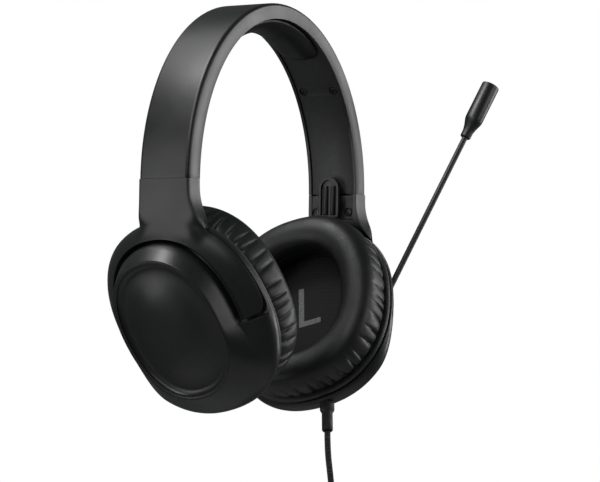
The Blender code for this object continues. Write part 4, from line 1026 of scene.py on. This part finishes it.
for side, turn_over in (("right", MIRROR), ("left", Matrix.Identity(4))):
    body = side + "_arm"
    settle(copy_of(arm_plate, side + "_arm_cover", turn_over), body, MATT, "matt_black", side + "_arm_plate")
    for place, centre in screw_places:
        head = copy_of(screw, f"{side}_arm_screw_head_{place}",
                       turn_over @ along(centre + Vector((0.0002, 0, 0)), (-1, 0, 0)))
        settle(head, body, BLACK_STEEL, "black_screw", f"{side}_arm_screw_{place}")
    settle(copy_of(guide, side + "_cable_boss", turn_over), body, SATIN, "satin_black", side + "_cable_guide")
    for number, channel in enumerate(channels, 1):
        settle(copy_of(channel, f"{side}_cable_channel_{number}", turn_over), body, SATIN, "satin_black")
    for number, tongue in enumerate(tongues, 1):
        settle(copy_of(tongue, f"{side}_seam_tongue_{number}", turn_over), body, MATT, "matt_black")
for piece in [screw, arm_plate, guide] + channels + tongues:
    bpy.data.objects.remove(piece, do_unlink=True)

# ------------------------------------------------------------------ baffles
# The baffle is a matt moulding that closes each bowl behind the cushion, pressed into its rim.  Its edge
# shows as a slim ring between the two.
BAFFLE_OUTLINE = ((-0.0003, -0.0016), (-0.0004, -0.0009), (-0.0009, -0.0006), (-0.0021, -0.0006),
                  (-0.0026, -0.0009), (-0.0028, -0.0016))
DRIVER_OPENING = (0.0195, 0.0195)
AROUND = [2 * math.pi * step / 160 for step in range(160)]
rings = [[oval_point(grown(RIM, growth), angle, level) for angle in AROUND]
         for level, growth in BAFFLE_OUTLINE]
rings += [[oval_point(DRIVER_OPENING, angle, level) for angle in AROUND] for level in (-0.0028, -0.0003)]
baffle = skin("baffle", rings, True)
smooth(baffle, 35.0)
on_both_cups(baffle, "baffle_ring", MATT, "matt_black", "baffle")

# ------------------------------------------------------------------ ear cushions
# Foam rings in the same synthetic leather.  The cover is gathered over the edge of the cushion's plate, so
# its outer wall is pleated all round, and a seam runs round the inner edge of the face.
OPENING = (0.0262, 0.0300)
CUSHION_FOOT = -0.0031
PLEATS = 46
GLUED_LEVEL, PIPING_LEVEL, PIPING_WIDTH, PIPING_DEPTH = -0.0058, -0.0150, 0.00035, 0.0005
OUTER_WALL = ((-0.0032, -0.0040), (-0.0035, -0.0028), (-0.0050, -0.0018), (-0.0074, -0.0011),
              (-0.0104, -0.0008), (-0.0136, -0.0007), (-0.0168, -0.0010), (-0.0196, -0.0020),
              (-0.0217, -0.0040), (-0.0229, -0.0070))
INNER_WALL = ((-0.0231, 0.0066), (-0.0226, 0.0040), (-0.0214, 0.0017), (-0.0197, 0.0003),
              (-0.0175, -0.0004), (-0.0145, -0.0006), (-0.0112, -0.0003), (-0.0080, 0.0005),
              (-0.0054, 0.0018), (-0.0046, 0.0034))


def deeper(angle):
    """The foam is a little thicker over the top and front of the ear."""
    return 1.0 + 0.07 * max(0.0, math.cos(angle - math.radians(112))) ** 1.5


columns = [2 * math.pi * step / 184 for step in range(184)]
rings = [[oval_point(grown(RIM, growth), angle, level * deeper(angle)) for angle in columns]
         for level, growth in OUTER_WALL]
rings += [[oval_point(grown(OPENING, growth), angle, level * deeper(angle)) for angle in columns]
          for level, growth in INNER_WALL]
rings.append([oval_point(grown(RIM, -0.0075), angle, -0.0043) for angle in columns])
cushion = skin("ear_cushion", rings, True)
inflate(cushion, lambda point: point.z > GLUED_LEVEL, pressure=4.0, cap=0.0010)
modify(cushion, "SUBSURF", levels=2, render_levels=2)

EDGE_STEPS = 720
edge_line = [oval_point(RIM, 2 * math.pi * step / EDGE_STEPS, 0.0) for step in range(EDGE_STEPS + 1)]
reach = [0.0]
for here, after in zip(edge_line, edge_line[1:]):
    reach.append(reach[-1] + (after - here).length)


def round_the_rim(point):
    """How far round the rim a point lies, from 0 to 1, measured along the rim's edge."""
    across = math.copysign(abs(point.x / RIM[0]) ** (OVAL_POWER / 2), point.x)
    up = math.copysign(abs(point.y / RIM[1]) ** (OVAL_POWER / 2), point.y)
    place = (math.atan2(up, across) / (2 * math.pi)) % 1.0 * EDGE_STEPS
    low = int(place) % EDGE_STEPS
    return (reach[low] + (reach[low + 1] - reach[low]) * (place - int(place))) / reach[-1]


def pleat(point):
    """Depth of the gathers at a point of the outer wall.  No two are quite alike."""
    down = (CUSHION_FOOT - point.z) / 0.0160
    fade = (1.0 - ease((down - 0.30) / 0.75)) * (0.70 + 0.30 * ease(down / 0.10))
    turn = round_the_rim(point)
    turn += 0.0030 * math.sin(2 * math.pi * turn * 7.0 + 1.0) + 0.0018 * math.sin(2 * math.pi * turn * 17.0)
    lean = 0.22 * math.sin(2 * math.pi * turn * 11.0 + 0.6) * down
    place = turn * PLEATS + lean
    own = 0.78 + 0.22 * math.sin(int(place % PLEATS) * 2.4)
    fold = abs(math.sin(math.pi * place))
    return own * fade * (0.0015 * (1.0 - fold) ** 2.2 - 0.00020 * fold)


normals = [vert.normal.copy() for vert in cushion.data.vertices]
for vert, normal in zip(cushion.data.vertices, normals):
    outside = (abs(vert.co.x / RIM[0]) ** OVAL_POWER + abs(vert.co.y / RIM[1]) ** OVAL_POWER) > 0.80
    if outside and vert.co.z < CUSHION_FOOT - 0.0001:
        vert.co -= normal * pleat(vert.co)
    seam = math.exp(-((vert.co.z - PIPING_LEVEL) / PIPING_WIDTH) ** 2)
    if abs(normal.z) < 0.6 and not outside and seam > 0.02:
        vert.co -= normal * seam * PIPING_DEPTH
smooth(cushion, 180.0)
for made in on_both_cups(cushion, "cushion", LEATHER, "leatherette", "ear_cushion"):
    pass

# ------------------------------------------------------------------ speaker cloths
# A thin knitted cloth covers each driver inside the opening.  The ear's letter is printed on it in grey.
CLOTH_LEVEL, PRINT_HEIGHT = -0.0036, 0.0002

# Black knit: a fine round mesh, with painted shade in its holes.
knit = Finish("speaker_cloth", (0.006, 0.006, 0.006), 0.92)
holes_and_painted_shade = knit.pattern("Voronoi", "Distance", Scale=1150.0, Randomness=0.25)
# The darker colour in the holes is painted shade.
knit.shade(holes_and_painted_shade, (0.0015, 0.0015, 0.0015), (0.006, 0.006, 0.0062))
knit.grain(holes_and_painted_shade, 0.00015, 0.7)

# Matt grey ink that has soaked a little into the cloth.
ink = Finish("grey_print", (0.13, 0.135, 0.135), 0.85)
ink.shade(ink.noise(900.0, 3.0), (0.085, 0.09, 0.09), (0.15, 0.155, 0.155))
ink.grain(ink.noise(1400.0), 0.00008, 0.6)

cloth_outline = ((-0.0031, 0.0014), (CLOTH_LEVEL, 0.0014), (CLOTH_LEVEL - 0.0001, -0.0040),
                 (CLOTH_LEVEL - 0.0002, -0.0180))
rings = [[oval_point(grown(OPENING, growth), angle, level) for angle in AROUND]
         for level, growth in cloth_outline]
cloth = skin("cloth", rings, False)
smooth(cloth, 35.0)


def ear_letter(letter, side, low, high):
    """A printed capital, sized to fit between two corners of the cloth's face."""
    bpy.ops.object.select_all(action="DESELECT")
    bpy.ops.object.text_add(location=(0, 0, 0))
    drawn = bpy.context.object
    drawn.data.body = letter
    drawn.data.extrude = 0.002
    bpy.ops.object.convert(target="MESH")
    drawn = bpy.context.object
    drawn.name = side + "_ear_letter"
    corners = [vert.co for vert in drawn.data.vertices]
    left, right = min(c.x for c in corners), max(c.x for c in corners)
    foot, top = min(c.y for c in corners), max(c.y for c in corners)
    for vert in drawn.data.vertices:
        vert.co = Vector((low[0] + (vert.co.x - left) / (right - left) * (high[0] - low[0]),
                          low[1] + (vert.co.y - foot) / (top - foot) * (high[1] - low[1]), vert.co.z * 0.02))
    edit()
    bpy.ops.mesh.select_all(action="SELECT")
    bpy.ops.mesh.remove_doubles(threshold=0.000002)
    outwards()
    axes, across = (LEFT, -1) if side == "left" else (RIGHT, 1)
    facing = axes @ Matrix.Diagonal((across, 1, -1, 1))
    place_mesh(drawn, facing @ Matrix.Translation((0, 0, PRINT_HEIGHT - CLOTH_LEVEL)))
    settle(drawn, side + "_cup", ink.material, "speaker_cloth")


on_both_cups(cloth, "driver_cloth", knit.material, "speaker_cloth", "speaker_cloth")
ear_letter("L", "left", (-0.0059, -0.0067), (0.0063, 0.0152))
ear_letter("R", "right", (-0.0066, -0.0067), (0.0072, 0.0152))

# ------------------------------------------------------------------ microphone
# A turning hub on the left cup's face carries a plain flexible boom in a satin sleeve.  The capsule is a
# moulded barrel that swells from a short neck, with a small sound port near its end.
HUB_PLACE, HUB_LEVEL, HUB_HEIGHT, HUB_RADIUS = (-0.0115, -0.0120), 0.0229, 0.0042, 0.0086
BOOM_DIAMETER, BOOM_LENGTH, BOOM_START = 0.0029, 0.1260, 0.0105
CAPSULE_GAP, PORT_RADIUS, PORT_HEIGHT = 0.0003, 0.0011, 0.0218
BOOM_LEAN = math.radians(30.7)
boom_way = (LEFT.to_3x3() @ Vector((-math.sin(BOOM_LEAN), math.cos(BOOM_LEAN), 0.0))).normalized()
boom_root = LEFT @ Vector((*HUB_PLACE, HUB_LEVEL + HUB_HEIGHT / 2))
boom_frame = along(boom_root, boom_way)

hub_top = HUB_LEVEL + HUB_HEIGHT
hub = turned("boom_hub", [
    (0.0030, HUB_LEVEL - 0.0070), (0.0030, HUB_LEVEL), (HUB_RADIUS - 0.0004, HUB_LEVEL),
    (HUB_RADIUS, HUB_LEVEL + 0.0004), (HUB_RADIUS, hub_top - 0.0011), (HUB_RADIUS - 0.0004, hub_top - 0.0004),
    (HUB_RADIUS - 0.0012, hub_top), (HUB_RADIUS - 0.0030, hub_top), (HUB_RADIUS - 0.0034, hub_top - 0.0003),
    (0.0010, hub_top - 0.0003)], 64)
place_mesh(hub, LEFT @ Matrix.Translation((*HUB_PLACE, 0.0)))
neck = turned("neck", [(0.0020, 0.0), (0.0020, 0.0135), (0.0018, 0.0146), (0.0016, 0.0150)], 32)
place_mesh(neck, boom_frame)
modify(hub, "BOOLEAN", operation="UNION", solver="EXACT", object=neck)
bpy.data.objects.remove(neck, do_unlink=True)
smooth(hub, 34.0)
settle(hub, "mic_boom", SATIN, "satin_black", "mic_hub")

boom = primitive(bpy.ops.mesh.primitive_cylinder_add, "boom_sleeve", vertices=32, radius=BOOM_DIAMETER / 2,
                 depth=BOOM_LENGTH - BOOM_START, location=(0, 0, (BOOM_LENGTH + BOOM_START) / 2))
place_mesh(boom, boom_frame)
smooth(boom, 40.0)

# The boom's spiral core shows faintly through its satin sleeve.
tubing = Finish("boom_sleeve", (0.010, 0.0105, 0.0105), 0.42)
tubing.gloss(tubing.noise(200.0, 3.0), 0.38, 0.48)
tubing.grain(tubing.pattern("Wave", "Fac", Scale=420.0, Distortion=0.4), 0.00004, 0.35)
settle(boom, "mic_boom", tubing.material, "satin_black", "mic_boom_tube")

capsule = turned("mic_capsule", [
    (0.0024, 0.0), (0.0027, 0.0003), (0.00275, 0.0008), (0.00275, 0.0030), (0.0029, 0.0042), (0.0033, 0.0060),
    (0.0038, 0.0076), (0.0043, 0.0090), (0.00457, 0.0101), (0.00465, 0.0112), (0.00465, 0.0306),
    (0.00450, 0.0311), (0.0041, 0.0313), (0.0034, 0.0313), (0.0032, 0.0310), (0.0006, 0.0310)], 64)
capsule_frame = along(boom_root + boom_way * (BOOM_LENGTH + CAPSULE_GAP), boom_way)
port = turned("port", [(PORT_RADIUS, 0.0030), (PORT_RADIUS, 0.0100)], 24)
place_mesh(port, Matrix.Translation((0, 0, PORT_HEIGHT)) @ Matrix.Rotation(math.radians(90), 4, "X"))
cut(capsule, port)
place_mesh(capsule, capsule_frame)
smooth(capsule, 34.0)
settle(capsule, "mic_boom", SATIN, "satin_black", "mic_housing")

# ------------------------------------------------------------------ volume wheel
# A thin satin wheel with a knurled edge that stands out of a slot in the left cup's rear lower edge.
WHEEL_PLACE, WHEEL_LEVEL, WHEEL_RADIUS, WHEEL_THICKNESS = (0.0274, -0.0214), 0.0042, 0.0100, 0.0026
WHEEL_POINTS, POINTS_PER_KNURL, KNURL_DEPTH = 120, 3, 0.00045
wheel = turned("knurled_wheel", [
    (WHEEL_RADIUS - 0.0005, 0.0), (WHEEL_RADIUS, 0.0004), (WHEEL_RADIUS, WHEEL_THICKNESS - 0.0004),
    (WHEEL_RADIUS - 0.0005, WHEEL_THICKNESS), (WHEEL_RADIUS - 0.0030, WHEEL_THICKNESS),
    (WHEEL_RADIUS - 0.0033, WHEEL_THICKNESS - 0.0003)], WHEEL_POINTS)
for vert in wheel.data.vertices:
    radius = math.hypot(vert.co.x, vert.co.y)
    step = round(math.atan2(vert.co.y, vert.co.x) / (2 * math.pi) * WHEEL_POINTS)
    if radius > WHEEL_RADIUS - 0.0008 and step % POINTS_PER_KNURL == 0:
        vert.co.x *= 1 - KNURL_DEPTH / radius
        vert.co.y *= 1 - KNURL_DEPTH / radius
place_mesh(wheel, LEFT @ Matrix.Translation((*WHEEL_PLACE, WHEEL_LEVEL)))
smooth(wheel, 30.0)
settle(wheel, "volume_wheel", SATIN, "satin_black", "volume_wheel")

# ------------------------------------------------------------------ inside pieces
# Spring, guides, strips, pins, drivers and the small circuit board sit inside the mouldings.  They keep
# their plain shapes and take their real finishes.
STEEL = metal_finish("spring_steel", (0.42, 0.42, 0.42), 0.30, 1200.0)
MAGNET = metal_finish("plated_magnet", (0.30, 0.30, 0.31), 0.26, 700.0)

# Green lacquer over copper: broad traces under a glossy, slightly wavy coat.
board = Finish("circuit_green", (0.01, 0.09, 0.03), 0.30)
traces = board.pattern("Brick", "Color", Scale=260.0, Color1=(0.010, 0.085, 0.030, 1.0),
                       Color2=(0.014, 0.105, 0.038, 1.0), Mortar=(0.030, 0.160, 0.060, 1.0))
board.tree.links.new(traces, board.shader.inputs["Base Color"])
board.grain(board.noise(500.0), 0.00004, 0.4)

# Clear polyester film with pressed ribs.
film = Finish("driver_film", (0.45, 0.44, 0.40), 0.18)
film_ribs = film.pattern("Wave", "Fac", Scale=180.0)
film_ribs.node.wave_type = "RINGS"
film.gloss(film.noise(150.0), 0.14, 0.24)
film.grain(film_ribs, 0.0001, 0.6)

FINISHES = {"satin_black": SATIN, "matt_black": MATT, "leatherette": LEATHER, "speaker_cloth": knit.material,
            "spring_steel": STEEL, "black_screw": BLACK_STEEL, "soft_rubber": RUBBER, "braided_cord": BRAID,
            "circuit_green": board.material, "magnet": MAGNET, "driver_film": film.material,
            "plug_contact": GOLD}
for node in frame["nodes"].values():
    for held in node.material_slots:
        held.material = FINISHES[held.material.name.split(".")[0]]

bpy.context.view_layer.update()
